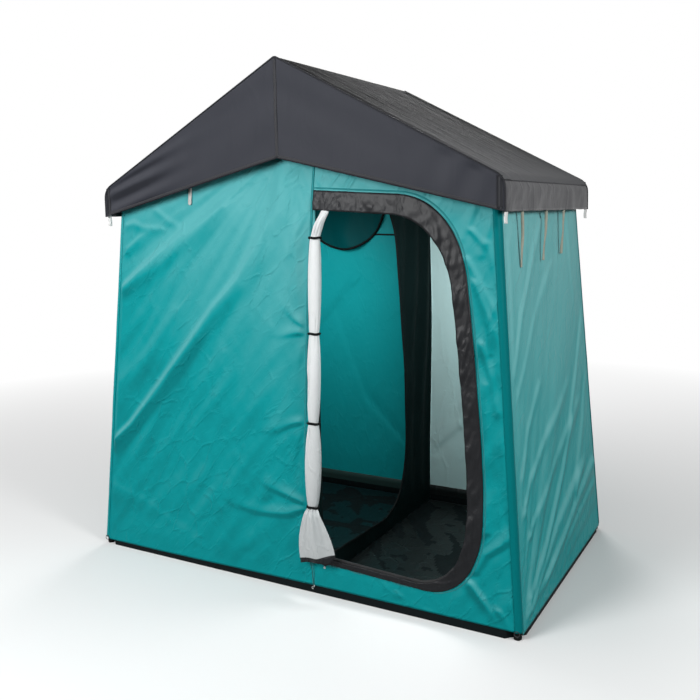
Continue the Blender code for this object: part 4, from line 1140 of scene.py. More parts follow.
def lay_groundsheet():
    reach_x = half_width(0) - SHEET - 2 * GAP
    reach_y = half_depth(0) - SHEET - 2 * GAP
    steps = (round(2 * reach_x / FLOOR_GRID), round(2 * reach_y / FLOOR_GRID))
    bm = new_grid(*steps)
    bmesh.ops.scale(bm, verts=bm.verts, vec=(2 * reach_x, 2 * reach_y, 1))
    low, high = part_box("boot_back_right")
    boot = (low + high) / 2
    corner = boot.x + boot.y - math.sqrt(2) * (BOOT_RADIUS + BOOT_CLEARANCE)
    cut_corners(bm, corner, 0)
    bmesh.ops.reverse_faces(bm, faces=bm.faces)
    for vert in bm.verts:
        x, y = abs(vert.co.x), abs(vert.co.y)
        room = min(reach_x - x, reach_y - y, (corner - x - y) * 0.7)
        vert.co.z = floor_lift(vert.co.x, vert.co.y) * ease((room - STRIP_LAP) / 0.06)
    rim = [edge for edge in bm.edges if edge.is_boundary]
    before = 0.0
    for height in TUB_RISE:
        grown = bmesh.ops.extrude_edge_only(bm, edges=rim)["geom"]
        for vert in (part for part in grown if isinstance(part, bmesh.types.BMVert)):
            vert.co.z = height
            vert.co.x *= 1 - LEAN_X * (height - before) / reach_x
            vert.co.y *= 1 - LEAN_Y * (height - before) / reach_y
        rim = [part for part in grown if isinstance(part, bmesh.types.BMEdge) and part.is_boundary]
        before = height
    bm.normal_update()
    for face in bm.faces:
        centre = face.calc_center_median()
        face.material_index = 2 if centre.x > BACK_SEAM else int(centre.z > HEM_HEIGHT)
        if RIM_FOOT[0] < centre.z < RIM_FOOT[1] and face.normal.z < 0.5:
            face.material_index = 3
    sheet = end_mesh(
        "groundsheet_cloth", bm, ground_cloth, tub_cloth, room_cloth, rim_cloth, sharp=math.radians(60),
    )
    give_thickness(sheet, CLOTH)
    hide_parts("groundsheet")


lay_groundsheet()


# The partition
# A near-black curtain between the rooms, with a D-shaped way through whose edge is bound with thick piping.
PARTITION_X = 0.130
PARTITION_BOTTOM = 0.0023
PARTITION_TOP = 2.110
black_cloth = coated_cloth(
    "black_cloth", (0.0010, 0.0045, 0.0045), (0.0035, 0.0095, 0.0095), 0.6, 0.04, 0.005,
)
PARTITION_HOLE = door_outline(0.015 - half_depth(1.78), 0.852 - half_depth(1.78), 0.080, 1.780)
PARTITION_SWAY = 0.036
PARTITION_INSET = 0.0055
PARTITION_PIPING = 0.0045


def partition_relief(along, height):
    spot = Vector((along, height))
    off = (nearest(PARTITION_HOLE, spot) - spot).length
    pleats = 0.007 * math.sin(along * 46 + 1.5 * math.sin(height * 2.1)) * ease(off / 0.10)
    hang = 0.006 * drawn(along, height, 5.5, 1.45, 0.50, 0.08)
    return pleats * (0.4 + 0.6 * height / 2.1) + hang


def on_partition(along, height, out=0.0):
    """A point on the curtain, which sways to the right towards its back top corner."""
    sway = PARTITION_SWAY * ease(along / 0.55) * ease(height / 1.2)
    return Vector((PARTITION_X + sway - out, along, height))


partition = wall_panel(
    "partition_curtain", on_partition, lambda z: PARTITION_INSET - half_depth(z),
    lambda z: half_depth(z) - PARTITION_INSET, lambda along, height: PARTITION_TOP, partition_relief,
    (-1, 0, 0), (black_cloth,), hole=PARTITION_HOLE, hem=lambda along: PARTITION_BOTTOM,
)
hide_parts("partition")
partition_edge = [on_partition(p.x, p.y, partition_relief(p.x, p.y)) for p in PARTITION_HOLE]
partition_piping = tube("partition_piping", partition_edge, PARTITION_PIPING, black_piping, closed=True)


# The inner roof
# One sheet of net over both rooms, tied under the rafters. It sags a little between them, and its corners
# are cut back clear of the eave elbows.
ROOF_NET_THICKNESS = 0.0008
ROOF_STEPS = (150, 84)
ROOF_CORNER_CUT = (0.052, 0.003)


def build_inner_roof():
    reach_x = half_width(WALL_TOP) - SHEET - 3 * GAP
    bm = new_grid(*ROOF_STEPS)
    for vert in bm.verts:
        across = vert.co.x * 2 * reach_x
        height = gable_line(across)
        reach_y = half_depth(height) - SHEET - 3 * GAP
        along = vert.co.y * 2 * reach_y
        sag = 0.010 * (1 - (2 * vert.co.x) ** 2) * (1 - (2 * vert.co.y) ** 2) * ease(abs(across) / 0.25)
        ripple = 0.002 * noise.noise(Vector((across * 4, along * 11, 0)))
        vert.co = (across, along, height - 0.001 - sag - abs(ripple))
    cut_corners(bm, reach_x - ROOF_CORNER_CUT[0], half_depth(WALL_TOP) - ROOF_CORNER_CUT[1])
    roof = end_mesh("inner_roof_net", bm, black_net, outward=(0, 0, 1))
    give_thickness(roof, ROOF_NET_THICKNESS)
    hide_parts("net_roof")


build_inner_roof()


# The storm flap, its seam and the zip
# A double charcoal flap sewn along its outer edge covers the zip round the doorway. Its free edge is a
# little fuller than its sewn one, so it puckers in diagonal folds. Outside it a felled teal seam runs round
# the doorway.
DOOR_LEFT, DOOR_RIGHT, DOOR_BOTTOM, DOOR_TOP = 0.137, 0.899, 0.122, 1.692
FLAP_TOP_WIDTH = 0.080
FLAP_SIDE_WIDTH = 0.064
FLAP_SILL_WIDTH = 0.026
FLAP_THICKNESS = 0.0024
FLAP_STEPS = 10
FLAP_BULGE = (0.200, 0.042, 0.013)
FLAP_BULGE_FOOT = 1.5
# The flap pales towards its upper left, a painted highlight, and is lighter and darker on flanks facing up and
# down: painted light and shade.
charcoal_flap = coated_cloth(
    "charcoal_flap", (0.006, 0.0065, 0.008), (0.0155, 0.0165, 0.019), 0.40, 0.17, 0.006, lines=0.3,
    mottle=0.3, start=0.05, rises=((-0.70, 0.0, 0.9, -0.49),), toward=(0.0, 0.0, 1.0, 0.058), contrast=1.2,
)


def even_points(line, step):
    """Points at even steps along a line."""
    total = sum((b - a).length for a, b in zip(line, line[1:]))
    count = max(2, round(total / step))
    made, run, target = [line[0].copy()], 0.0, total / count
    for a, b in zip(line, line[1:]):
        piece = (b - a).length
        while run + piece >= target - 1e-9 and len(made) <= count:
            made.append(a.lerp(b, (target - run) / piece))
            target += total / count
        run += piece
    return made[:count] + [line[-1].copy()]


def flap_points():
    outer = door_outline(DOOR_LEFT, DOOR_RIGHT, DOOR_BOTTOM, DOOR_TOP)
    inner = door_outline(
        DOOR_LEFT, DOOR_RIGHT - FLAP_SIDE_WIDTH, DOOR_BOTTOM + FLAP_SILL_WIDTH, DOOR_TOP - FLAP_TOP_WIDTH,
    )
    pairs = [Vector((*a, *b)) for a, b in zip(outer, inner)]
    return even_points(pairs, 0.007)


def build_storm_flap():
    pairs = flap_points()
    bm = new_grid(FLAP_STEPS, len(pairs) - 1)
    for vert in bm.verts:
        row = round((vert.co.y + 0.5) * (len(pairs) - 1))
        share = vert.co.x + 0.5
        x0, z0, x1, z1 = pairs[row]
        across, height = x0 + share * (x1 - x0), z0 + share * (z1 - z0)
        run = row * 0.005
        wide = math.hypot(x1 - x0, z1 - z0)
        pucker = math.sin(run * 43 + share * 2.6 + 3 * noise.noise(Vector((run * 2.7, 0, 0)))) ** 3
        pucker = 0.3 + 0.4 * pucker + 0.8 * noise.noise(Vector((run * 22 - share * 2.2, share * 1.6, 3.0)))
        lift = wide * 0.12 * max(0.0, pucker) * share * (1.25 - 0.5 * share)
        if height > FLAP_BULGE_FOOT:
            middle, reach, tall = FLAP_BULGE
            lift += tall * share ** 1.5 * math.exp(-((across - middle) / reach) ** 2)
        room = min(across - front_seam(height), half_width(height) - CORNER_RADIUS - across)
        base = max(0.0, front_relief(across, height) * ease((room - STRIP_LAP) / 0.012))
        vert.co = on_front(across, height, base + 0.0016 + 0.0016 * share + lift)
    flap = end_mesh("storm_flap_cloth", bm, charcoal_flap, outward=(0, -1, 0))
    give_thickness(flap, FLAP_THICKNESS, 1.0)
    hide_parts("door_storm_flap")


build_storm_flap()


STITCH_PITCH = 0.0042


def stitched(name, colour, thread, rows):
    """A felled seam: cloth with rows of stitches, darkened in the grooves along them with painted shade, from
    its UV in metres. rows are places across it.
    """
    seam = finish_for(name, Roughness=0.55, Specular_IOR_Level=0.2, Sheen_Weight=0.1)
    across, along = seam.flat_place()
    dashes = (along * (math.tau / STITCH_PITCH)).wave() > -0.35
    offs = [seam.node("ShaderNodeMath", {"operation": "ABSOLUTE"}, {0: across - row}) for row in rows]
    line = sum((1 - off / 0.0006).held() * dashes for off in offs)
    groove = sum((1 - off / 0.0016).held() for off in offs)
    pucker = seam.noise(seam.place(), 90.0, 3.0)
    tone = seam.mix(tuple(c * 0.8 for c in colour), colour, pucker)
    # Painted shade: the cloth darkens in the groove along each row of stitches.
    tone = seam.mix(tone, tuple(c * 0.45 for c in colour), groove * 0.6)
    seam.give("Base Color", seam.mix(tone, thread, line.held()))
    height = pucker * 0.5 - groove * 0.8 + line * 0.9
    seam.give("Normal", seam.bump(height, 0.0008))
    return seam.owner


BAND_STEP = 0.008
BAND_THICKNESS = 0.0010


def wall_band(name, line, width, lift, finish, place, relief):
    """A band sewn flat on a wall along a line of places, which follows the wall's relief."""
    line = even_points([Vector(p) for p in line], BAND_STEP)
    bm = new_grid(4, len(line) - 1)
    ways = []
    for row in range(len(line)):
        way = (line[min(row + 1, len(line) - 1)] - line[max(row - 1, 0)]).normalized()
        ways.append(Vector((way.y, -way.x)))
    flat = {}
    for vert in bm.verts:
        row = round((vert.co.y + 0.5) * (len(line) - 1))
        spot = line[row] + ways[row] * (vert.co.x * width)
        flat[vert] = (vert.co.x * width, row * BAND_STEP)
        crown = lift * (1 - (2 * vert.co.x) ** 4) + 0.0002
        vert.co = place(spot.x, spot.y, relief(spot.x, spot.y) + crown)
    lay_flat(bm, flat)
    band = end_mesh(name, bm, finish, outward=place(0, 1, 1) - place(0, 1, 0))
    give_thickness(band, BAND_THICKNESS)
    return band


window_tape = wall_band(
    "window_tape", [(-0.17, 1.478), (0.122, 1.474)], 0.010, 0.0006, black_piping, inside_back,
    inside_back_relief,
)
teal_seam = stitched("teal_seam", (0.004, 0.235, 0.250), (0.002, 0.16, 0.17), (-0.0042, 0.0042))
SEAM_WIDTH = 0.013
DOOR_SEAM_WIDTH = 0.007
DOOR_SEAM_OUT = 0.009
door_stitches = stitched("door_stitches", (0.010, 0.240, 0.255), (0.004, 0.14, 0.15), (0.0,))
outer = door_outline(
    DOOR_LEFT, DOOR_RIGHT + DOOR_SEAM_OUT, DOOR_BOTTOM - DOOR_SEAM_OUT * 0.6, DOOR_TOP + DOOR_SEAM_OUT,
)
door_seam = wall_band("door_seam", outer, DOOR_SEAM_WIDTH, 0.0008, door_stitches, on_front, front_relief)
front_seam_band = wall_band(
    "front_seam", [(front_seam(z / 100), z / 100) for z in range(4, 208, 4)], SEAM_WIDTH, 0.0018, teal_seam,
    on_front, lambda across, height: 0.0,
)


# The rolled door
# The door's panel, rolled up with its white-coated inner face outwards and tied in four places. It swells
# between the ties, where folds gather towards each one, and its foot hangs open as a skirt with a charcoal
# hem.
ROLL_TOP = 1.612
ROLL_HEM = 0.150
ROLL_X = 0.158
NECK = (0.0215, 0.0155)
SWELL_DEPTH = 0.0230
SWELL_WIDTHS = (0.0315, 0.0325, 0.0405)
GATHER_WIDTH = 0.022
GATHER_REACH = 0.045
GATHER_LEAN = 0.35
TIE_HEIGHTS = (1.500, 1.112, 0.740, 0.384)
ROLL_OUT = 0.0228
ROLL_AROUND = 112
ROLL_ROW = 0.006
ROLL_FULLEST = 0.94
ROLL_FOOT = 0.012
TUCK_FOOT = 1.560
TUCK_REACH = 0.052
# The roll's white pales towards the top, a painted highlight, and is lighter on its left-facing side and
# darker on its right-facing side: painted light and shade.
white_cloth = coated_cloth(
    "white_cloth", (0.36, 0.385, 0.39), (0.64, 0.665, 0.67), 0.5, 0.12, 0.008, creases=13.0, mottle=0.2,
    start=0.20, rises=((0.0, 0.0, 1.1, -0.15),), toward=(-1.0, 0.0, 0.0, 0.0), contrast=0.45,
)


def roll_size(height):
    """The roll's half width and half depth, and how tightly it is gathered, at a height."""
    swell, full, loosened = 0.0, NECK[0], 1.0
    if height > TIE_HEIGHTS[0]:
        swell, full, loosened = ease((height - TIE_HEIGHTS[0]) / GATHER_REACH), GATHER_WIDTH, 0.4
    for upper, lower, width in zip(TIE_HEIGHTS, TIE_HEIGHTS[1:], SWELL_WIDTHS):
        if lower <= height < upper:
            t = (upper - height) / (upper - lower)
            swell, full = math.sin(math.pi * t) ** 0.62, width
    return NECK[0] + swell * (full - NECK[0]), NECK[1] + swell * (SWELL_DEPTH - NECK[1]), 1 - loosened * swell


def build_roll():
    bottom = TIE_HEIGHTS[-1] - ROLL_FOOT
    rows = round((ROLL_TOP - bottom) / ROLL_ROW)
    bm = new_grid(ROLL_AROUND, rows)
    for vert in bm.verts:
        turn = (vert.co.x + 0.5) * math.tau
        height = bottom + (vert.co.y + 0.5) * (ROLL_TOP - bottom)
        wide, deep, gathered = roll_size(height)
        swirl = Vector((math.cos(turn), math.sin(turn), 0))
        pleat = math.sin(9 * turn + 5 * noise.noise(Vector((height * 3, 0, 0.7)))) * 0.5
        pleat += math.sin(14 * turn + 9 * height) * 0.3
        soft = noise.noise(swirl * 1.6 + Vector((0, 0, height * 5)))
        crumple = noise.noise(swirl * 3.5 + Vector((3, 0, height * 15)))
        over_tie = ease((height - TIE_HEIGHTS[0]) / 0.03)
        crumple *= 1 + 2 * over_tie
        edge = ease(((turn - 4.1) % math.tau) / 0.35) * 0.10 - 0.10 * ease(((turn - 4.45) % math.tau) / 5.0)
        draw = 1 + pleat * (0.035 + 0.12 * gathered) + soft * 0.22 * (1 - 0.5 * gathered) + crumple * 0.11
        full = min(ROLL_FULLEST, (draw + edge) * (0.93 - 0.12 * over_tie))
        lean = GATHER_LEAN * max(0.0, height - TIE_HEIGHTS[0])
        x = ROLL_X + lean + wide * full * math.cos(turn)
        tucked = ease((height - TUCK_FOOT) / TUCK_REACH)
        deep *= 1 - 0.62 * tucked
        middle_out = ROLL_OUT * (1 - 0.56 * tucked)
        back = max(0.0, math.sin(turn))
        vert.co = on_front(x, height, middle_out - deep * full * math.sin(turn) * (1 - 0.05 * back))
    bmesh.ops.remove_doubles(bm, verts=bm.verts, dist=0.00002)
    bmesh.ops.holes_fill(bm, edges=[edge for edge in bm.edges if edge.is_boundary], sides=0)
    bmesh.ops.recalc_face_normals(bm, faces=bm.faces)
    roll = end_mesh("rolled_door_cloth", bm, white_cloth)
    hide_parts("rolled_door")
    return roll


rolled = build_roll()
SKIRT_LEFT = 0.108
SKIRT_RIGHT = 0.278
SKIRT_PLEATS = 1.6
SKIRT_STEPS = 72
SKIRT_THICKNESS = 0.0014
SKIRT_HEM_THICKNESS = 0.0022
SKIRT_PIPING = 0.0022


def skirt_point(share, drop, out=0.0):
    """A point on the skirt: share runs round its front to the right, drop from the last tie to the hem."""
    spread = math.sin(math.pi / 2 * min(1.0, max(0.0, drop) * 1.08)) ** 0.85
    top_width, hem_width = 2 * NECK[0], SKIRT_RIGHT - SKIRT_LEFT
    centre = ROLL_X + drop * ((SKIRT_LEFT + SKIRT_RIGHT) / 2 - ROLL_X)
    width = top_width + spread * (hem_width - top_width)
    height = TIE_HEIGHTS[-1] - drop * (TIE_HEIGHTS[-1] - ROLL_HEM)
    bow = math.sin(math.pi * share)
    wave = math.sin(share * math.pi * 2 * SKIRT_PLEATS + 2.2)
    wave += 0.5 * noise.noise(Vector((share * 5, drop * 1.5, 6.0)))
    opened = ease(drop / 0.15)
    base = ROLL_OUT + 0.002 + 0.010 * opened + spread * 0.006
    depth = base + (0.009 + 0.007 * opened) * bow + wave * (0.002 + 0.004 * spread) * (0.35 + 0.65 * bow)
    fine = math.sin(share * 34 + 3 * drop) * 0.0014 * max(0.0, 1 - drop) ** 1.5
    lean = 0.002 * wave * spread
    dip = -0.004 * bow - 0.001 * wave * spread * drop + (0.010 + 0.040 * share) * max(0.0, drop)
    return on_front(centre + (share - 0.5) * width + lean, height + dip * drop, depth + fine + out)


def skirt_sheet(name, first, last, finish, thickness, tail=0.0):
    """A sheet of the skirt between two drops. tail draws its foot down left of the middle."""
    steps = max(2, round((last - first) * 40))
    bm = new_grid(SKIRT_STEPS, steps)
    for vert in bm.verts:
        foot = last + tail * math.exp(-((vert.co.x - 0.27) / 0.13) ** 2)
        drop = foot + (vert.co.y + 0.5) * (first - foot)
        vert.co = skirt_point(vert.co.x + 0.5, drop)
    piece = end_mesh(name, bm, finish, outward=(0, -1, 0))
    give_thickness(piece, thickness, 0.0)
    return piece


skirt = skirt_sheet("door_skirt", -0.03, 1.0, white_cloth, SKIRT_THICKNESS)
skirt_hem = skirt_sheet("door_skirt_hem", 0.99, 1.085, charcoal_flap, SKIRT_HEM_THICKNESS, tail=0.15)
skirt_edge = [skirt_point(step / SKIRT_STEPS, 1.0, -0.0006) for step in range(SKIRT_STEPS + 1)]
skirt_piping = tube("door_skirt_piping", skirt_edge, SKIRT_PIPING, black_piping)

TIE_BAND = 0.0052
TIE_OUT = 0.0032
TIE_STEPS = 48
for number, height in enumerate(TIE_HEIGHTS, 1):
    points = []
    for step in range(TIE_STEPS):
        turn = math.tau * step / TIE_STEPS
        wobble = 0.0012 * math.sin(3 * turn + number)
        across = ROLL_X + (NECK[0] + TIE_OUT) * math.cos(turn)
        points.append(on_front(across, height + wobble, ROLL_OUT + (NECK[1] + TIE_OUT) * math.sin(turn)))
    band = tube(f"door_tie_band_{number}", points, TIE_BAND, black_piping, closed=True)
    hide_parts(f"door_tie_{number}")


# The fly
# A second roof of charcoal coated cloth: one sheet over the ridge with a ruffled valance down each side, and
# a gable at each end whose lower edge rises to the middle. Piping runs along its edges, and its hem is
# turned up once.
RIDGE_HEIGHT = 2.217
FLY_HALF_DEPTH = 0.602
FLY_HALF_WIDTH = 0.962
KNEE_HALF_SPAN = 0.895
KNEE_HEIGHT = 1.6783
KNEE_RADIUS = 0.065
GABLE_EDGE_HEIGHT = 1.821
VALANCE_SEAM_HEIGHT = 1.707
PITCH = math.atan(ROOF_SLOPE)
FLY_GRID = 0.010
GABLE_STEPS = (200, 34)
GABLE_STRIP_OUT = 0.0014
GABLE_STRIP_THICKNESS = 0.0009
GABLE_SEAM_WIDTH = 0.013
GABLE_HEM_WIDTH = 0.012
# Width of the dark strips down the gables' outer edges, which are painted shade.
CORNER_SHADE_WIDTH = 0.022
FLY_PIPING = 0.0034
VALANCE_SEAM = 0.0026
VALANCE_SEAM_INSET = 0.006
VALANCE_SEAM_STEPS = 75
KNEE_STEPS = 12
# The fly is one charcoal cloth drawn in three tones, painted light and shade. The slopes are darkest and pale
# towards the eaves, a painted highlight.
charcoal_roof = coated_cloth(
    "charcoal_roof", (0.0085, 0.009, 0.010), (0.108, 0.110, 0.115), 0.70, 0.03, 0.006, creases=7.0,
    mottle=0.3, start=0.06, rises=((0.0, 0.0, -3.0, 6.2),),
)
# The gables are drawn lighter than the slopes, paler on flanks that face up and darker on those facing down:
# painted light and shade.
charcoal_gable = coated_cloth(
    "charcoal_gable", (0.028, 0.030, 0.038), (0.048, 0.050, 0.060), 0.55, 0.06, 0.004, creases=5.0,
    mottle=0.5, start=0.35, toward=(0.0, 0.0, 1.0, 0.0), contrast=2.5,
)
# The valance is drawn lightest, a painted sheen.
charcoal_valance = coated_cloth(
    "charcoal_valance", (0.036, 0.037, 0.040), (0.122, 0.123, 0.130), 0.42, 0.25, 0.004, creases=7.0,
    lines=0.6,
)
charcoal_seam = stitched("charcoal_seam", (0.022, 0.023, 0.028), (0.05, 0.05, 0.055), (-0.004, 0.004))


def fly_line():
    """The fly's section from its left hem over the ridge to its right hem."""
    right = [Vector((FLY_HALF_WIDTH, WALL_HEIGHT))]
    for step in range(KNEE_STEPS + 1):
        turn = (math.pi / 2 - PITCH) * step / KNEE_STEPS
        right.append(Vector((
            KNEE_HALF_SPAN + KNEE_RADIUS * math.cos(turn), KNEE_HEIGHT + KNEE_RADIUS * math.sin(turn),
        )))
    left = [Vector((-p.x, p.y)) for p in right]
    return left + [Vector((0, RIDGE_HEIGHT))] + right[::-1]


def roof_height(across):
    reach = abs(across)
    bend_start = KNEE_HALF_SPAN + KNEE_RADIUS * math.sin(PITCH)
    if reach <= bend_start:
        return RIDGE_HEIGHT - ROOF_SLOPE * reach
    return KNEE_HEIGHT + math.sqrt(max(0.0, KNEE_RADIUS ** 2 - (reach - KNEE_HALF_SPAN) ** 2))


def roof_relief(across, height, along, down):
    """down is the way from the ridge along the cloth."""
    if height < VALANCE_SEAM_HEIGHT:
        drop = (VALANCE_SEAM_HEIGHT - height) / (VALANCE_SEAM_HEIGHT - WALL_HEIGHT)
        ruffle = noise.noise(Vector((along / 0.055 + 1.6 * drop, drop * 1.2, across)))
        big = noise.noise(Vector((along / 0.11, drop * 0.9, across + 5)))
        puffed = 0.4 + 0.6 * math.sin(math.pi * min(1, drop + 0.2))
        return (0.004 + 0.0038 * ruffle * puffed + 0.011 * big * (0.3 + 0.7 * drop)) * ease(drop / 0.30)
    fine = noise.noise(Vector((down / 0.16, (along + 0.12 * down) / 0.030, across * 0.3)))
    broad = 0.6 * noise.noise(Vector((down / 0.50, (along - 0.2 * down) / 0.15, across * 0.2 + 7)))
    tight = ease((FLY_HALF_DEPTH - abs(along)) / 0.05)
    swell = 0.005 * math.exp(-((abs(along) - FLY_HALF_DEPTH + 0.05) / 0.035) ** 2)
    calm = ease(abs(across) / 0.06)
    lift = (0.0014 * fine + 0.0035 * broad) * tight
    if lift < 0:
        lift *= ease((0.90 - abs(across)) / 0.15)
    return (lift + swell) * calm


def build_roof():
    line = even_points(fly_line(), FLY_GRID)
    normals = []
    for row in range(len(line)):
        way = (line[min(row + 1, len(line) - 1)] - line[max(row - 1, 0)]).normalized()
        normals.append(Vector((-way.y, 0, way.x)))
    along_steps = round(2 * FLY_HALF_DEPTH / 0.008)
    bm = new_grid(len(line) - 1, along_steps)
    for vert in bm.verts:
        row = round((vert.co.x + 0.5) * (len(line) - 1))
        along = vert.co.y * 2 * FLY_HALF_DEPTH
        spot = line[row]
        down = math.hypot(spot.x, RIDGE_HEIGHT - spot.y)
        lift = roof_relief(spot.x, spot.y, along, down)
        if spot.y < VALANCE_SEAM_HEIGHT:
            lift *= ease((FLY_HALF_DEPTH - abs(along)) / 0.02)
        dip = 0.003 * noise.noise(Vector((along / 0.09, spot.x, 3))) if row in (0, len(line) - 1) else 0.0
        vert.co = Vector((spot.x, along, spot.y + abs(dip))) + normals[row] * lift
    for face in bm.faces:
        face.material_index = 1 if face.calc_center_median().z < VALANCE_SEAM_HEIGHT else 0
    roof = end_mesh("fly_roof", bm, charcoal_roof, charcoal_valance, outward=(0, 0, 1))
    give_thickness(roof, CLOTH)
    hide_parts("roof_fly")


def gable_wave(across, height):
    left_corner = math.exp(-((across + 0.80) / 0.22) ** 2) * math.sin((height * 1.6 - 0.5 * across) * 52)
    right_corner = math.exp(-((across - 0.80) / 0.14) ** 2) * math.sin((across - 0.5 * height) * 44)
    broad = 0.007 * drawn(across, height, 13.0, -0.5 if across > 0 else 0.5, 0.45, 0.14)
    return 0.007 * left_corner + 0.003 * right_corner + broad


def gable_point(share, rise, end, out=0.0):
    """A point on a gable: share runs from -1 to 1 across, rise from the lower edge to the roof's edge."""
    rising = GABLE_EDGE_HEIGHT - WALL_HEIGHT
    low = Vector((share * FLY_HALF_WIDTH, GABLE_EDGE_HEIGHT - rising * abs(share)))
    knee = KNEE_HALF_SPAN + KNEE_RADIUS
    high = Vector((share * knee, roof_height(share * knee)))
    spot = low.lerp(high, rise)
    room = ease(min(1 - rise, 4 * (1 - abs(share))) / 0.25) * (1 - 0.5 * (1 - rise))
    depth = FLY_HALF_DEPTH + gable_wave(spot.x, spot.y) * room + out
    return Vector((spot.x, end * depth, spot.y))


def gable_strip(name, end, first, last, width, finish):
    """A band sewn on a gable between two places on it, each a share across and a rise."""
    way = gable_point(*last, end) - gable_point(*first, end)
    side = Vector((way.z, 0, -way.x)).normalized()
    steps = max(4, round(way.length / 0.01))
    bm = new_grid(2, steps)
    flat = {}
    for vert in bm.verts:
        t = vert.co.y + 0.5
        share = first[0] + t * (last[0] - first[0])
        rise = first[1] + t * (last[1] - first[1])
        offset = vert.co.x * width
        flat[vert] = (offset, t * way.length)
        vert.co = gable_point(share, rise, end, GABLE_STRIP_OUT) + side * offset
    lay_flat(bm, flat)
    strip = end_mesh(name, bm, finish, outward=(0, end, 0))
    give_thickness(strip, GABLE_STRIP_THICKNESS)


def build_gable(name, end):
    bm = new_grid(*GABLE_STEPS)
    for vert in bm.verts:
        vert.co = gable_point(vert.co.x * 2, vert.co.y + 0.5, end)
    gable = end_mesh(f"fly_gable_{name}", bm, charcoal_gable, outward=(0, end, 0))
    give_thickness(gable, CLOTH)


SIDE_NAMES = ((-1, "left"), (1, "right"))
build_roof()
# Dark charcoal for the fly's piping and valance seams, and for the strips down the gables' outer edges that
# are painted shade.
dark_binding_and_painted_shade = coated_cloth(
    "dark_binding_and_painted_shade", (0.010, 0.011, 0.014), (0.022, 0.023, 0.027), 0.5, 0.15, crease=0.001,
)
for name, end in (("front", -1), ("back", 1)):
    build_gable(name, end)
    edge = [Vector((p.x, end * FLY_HALF_DEPTH, p.y)) for p in even_points(fly_line(), 0.012)]
    piping = tube(f"fly_piping_{name}", edge, FLY_PIPING, dark_binding_and_painted_shade)
    for side in (-1, 1):
        # A dark strip down each outer edge of a gable: painted shade where the fly bends round its corner.
        top, foot = (0.978 * side, 0.98), (0.978 * side, 0.05)
        gable_strip(f"fly_corner_binding_{name}_{side}", end, top, foot, CORNER_SHADE_WIDTH, dark_binding_and_painted_shade)
    gable_strip(f"fly_ridge_seam_{name}", end, (0, 0.01), (0, 0.985), GABLE_SEAM_WIDTH, charcoal_seam)
    for side, side_name in SIDE_NAMES:
        middle, corner = (0.004 * side, 0.022), (0.985 * side, 0.06)
        gable_strip(f"fly_hem_{name}_{side_name}", end, middle, corner, GABLE_HEM_WIDTH, charcoal_seam)


def valance_seam_point(side, along):
    """A point on the seam between a valance and the roof, on the bend over the eave."""
    turn = math.asin((VALANCE_SEAM_HEIGHT - KNEE_HEIGHT) / KNEE_RADIUS)
    across = side * (KNEE_HALF_SPAN + KNEE_RADIUS * math.cos(turn))
    lift = roof_relief(across, VALANCE_SEAM_HEIGHT, along, 0.0)
    lift = max(lift, 0.5 * roof_relief(across, VALANCE_SEAM_HEIGHT - 0.001, along, 0.0))
    return Vector((across + side * lift * math.cos(turn), along, VALANCE_SEAM_HEIGHT + lift * math.sin(turn)))


for side, side_name in SIDE_NAMES:
    reach = FLY_HALF_DEPTH - VALANCE_SEAM_INSET
    steps = range(-VALANCE_SEAM_STEPS, VALANCE_SEAM_STEPS + 1)
    seam_points = [valance_seam_point(side, step / VALANCE_SEAM_STEPS * reach) for step in steps]
    valance_seam = tube(f"fly_valance_seam_{side_name}", seam_points, VALANCE_SEAM, dark_binding_and_painted_shade)


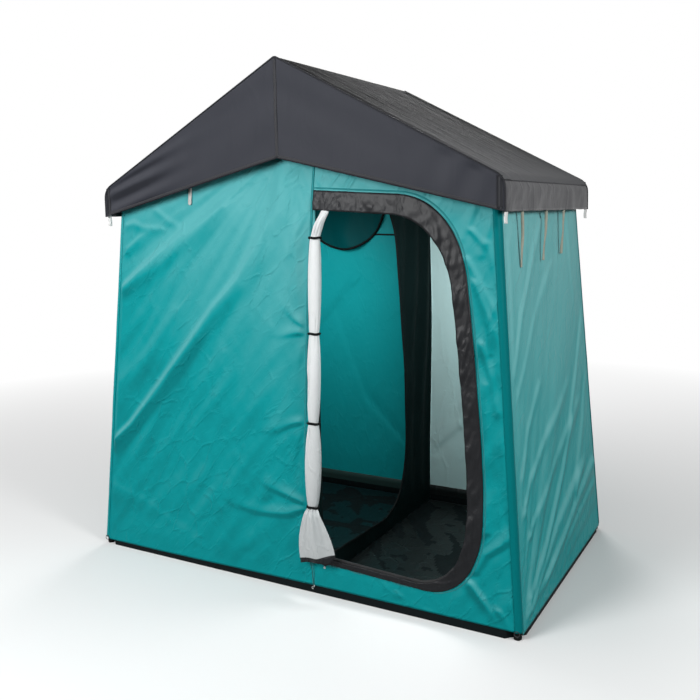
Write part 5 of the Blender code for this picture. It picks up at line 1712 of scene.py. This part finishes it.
# The tabs, the webbing loop and the zip's slider and pull
# White tape tabs hang inside the fly's corners for guy lines, and a doubled grey strap is sewn to the front
# wall.
TAB_WIDTH = 0.015
TAB_THICKNESS = 0.0014
TAB_WAY = Vector((0.6, 0.8, 0))
TAB_STEPS = 14
ACROSS = Vector((1, 0, 0))
white_tape = woven("white_tape", (0.74, 0.75, 0.74))
grey_webbing = woven("grey_webbing", (0.50, 0.50, 0.48))
black_tape = woven("black_tape", (0.012, 0.012, 0.013))
for corner, (side, end) in CORNERS.items():
    low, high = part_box(f"fly_tab_{corner}")
    middle = (low + high) / 2
    line = []
    for step in range(TAB_STEPS + 1):
        height = high.z - step * (high.z - low.z) / TAB_STEPS
        line.append(Vector((middle.x + side * 0.001 * math.sin(step * 0.5), middle.y, height)))
    tab = ribbon(f"tape_tab_{corner}", line, TAB_WIDTH, lambda share: TAB_WAY, TAB_THICKNESS, white_tape)
    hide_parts(f"fly_tab_{corner}")

LOOP_X = -0.500
LOOP_TOP = 1.7165
LOOP_LENGTH = 0.0740
LOOP_WIDTH = 0.0170
LOOP_THICKNESS = 0.0030
LOOP_STEPS = 24


def loop_width(share):
    """The strap's width: its doubled end is rounded."""
    left = (1 - share) * LOOP_LENGTH
    return LOOP_WIDTH * math.sqrt(max(0.02, 1 - max(0.0, 1 - left / (LOOP_WIDTH / 2)) ** 2))


line = [
    on_front(LOOP_X, LOOP_TOP - LOOP_LENGTH * step / LOOP_STEPS, 0.0030 + 0.004 * ease(step / LOOP_STEPS))
    for step in range(LOOP_STEPS + 1)
]
strap = ribbon(
    "front_webbing_strap", line, loop_width, lambda share: ACROSS, LOOP_THICKNESS, grey_webbing,
    body="front_webbing_loop_body",
)
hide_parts("front_webbing_loop")

keep_nodes(elbow_plastic, "door_zip_slider")
low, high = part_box("door_zip_pull")
middle = (low + high) / 2
pull_body = "door_zip_pull_body"
PULL_WIDTH = 0.0060
PULL_THICKNESS = 0.0018
PULL_STEPS = 12
PULL_EYE = (0.0040, 0.0030)
PULL_EYE_OUT = 0.0012
PULL_EYE_WIRE = 0.0013
heights = [high.z - (high.z - low.z) * step / PULL_STEPS for step in range(PULL_STEPS + 1)]
line = [Vector((middle.x, middle.y, height)) for height in heights]
pull = ribbon(
    "zip_pull_strap", line, PULL_WIDTH, lambda share: ACROSS, PULL_THICKNESS, black_tape, body=pull_body,
)
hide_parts("door_zip_pull")
for end_name, height in (("top", high.z - 0.003), ("foot", low.z + 0.003)):
    ring = []
    for step in range(19):
        across, up = PULL_EYE[0] * math.cos(step / 3), PULL_EYE[1] * math.sin(step / 3)
        ring.append(Vector((middle.x + across, middle.y - PULL_EYE_OUT, height + up)))
    eye = tube(f"zip_pull_eye_{end_name}", ring, PULL_EYE_WIRE, zinc_wire, closed=True, body=pull_body)
keep_nodes(elbow_plastic, "door_zip_track")
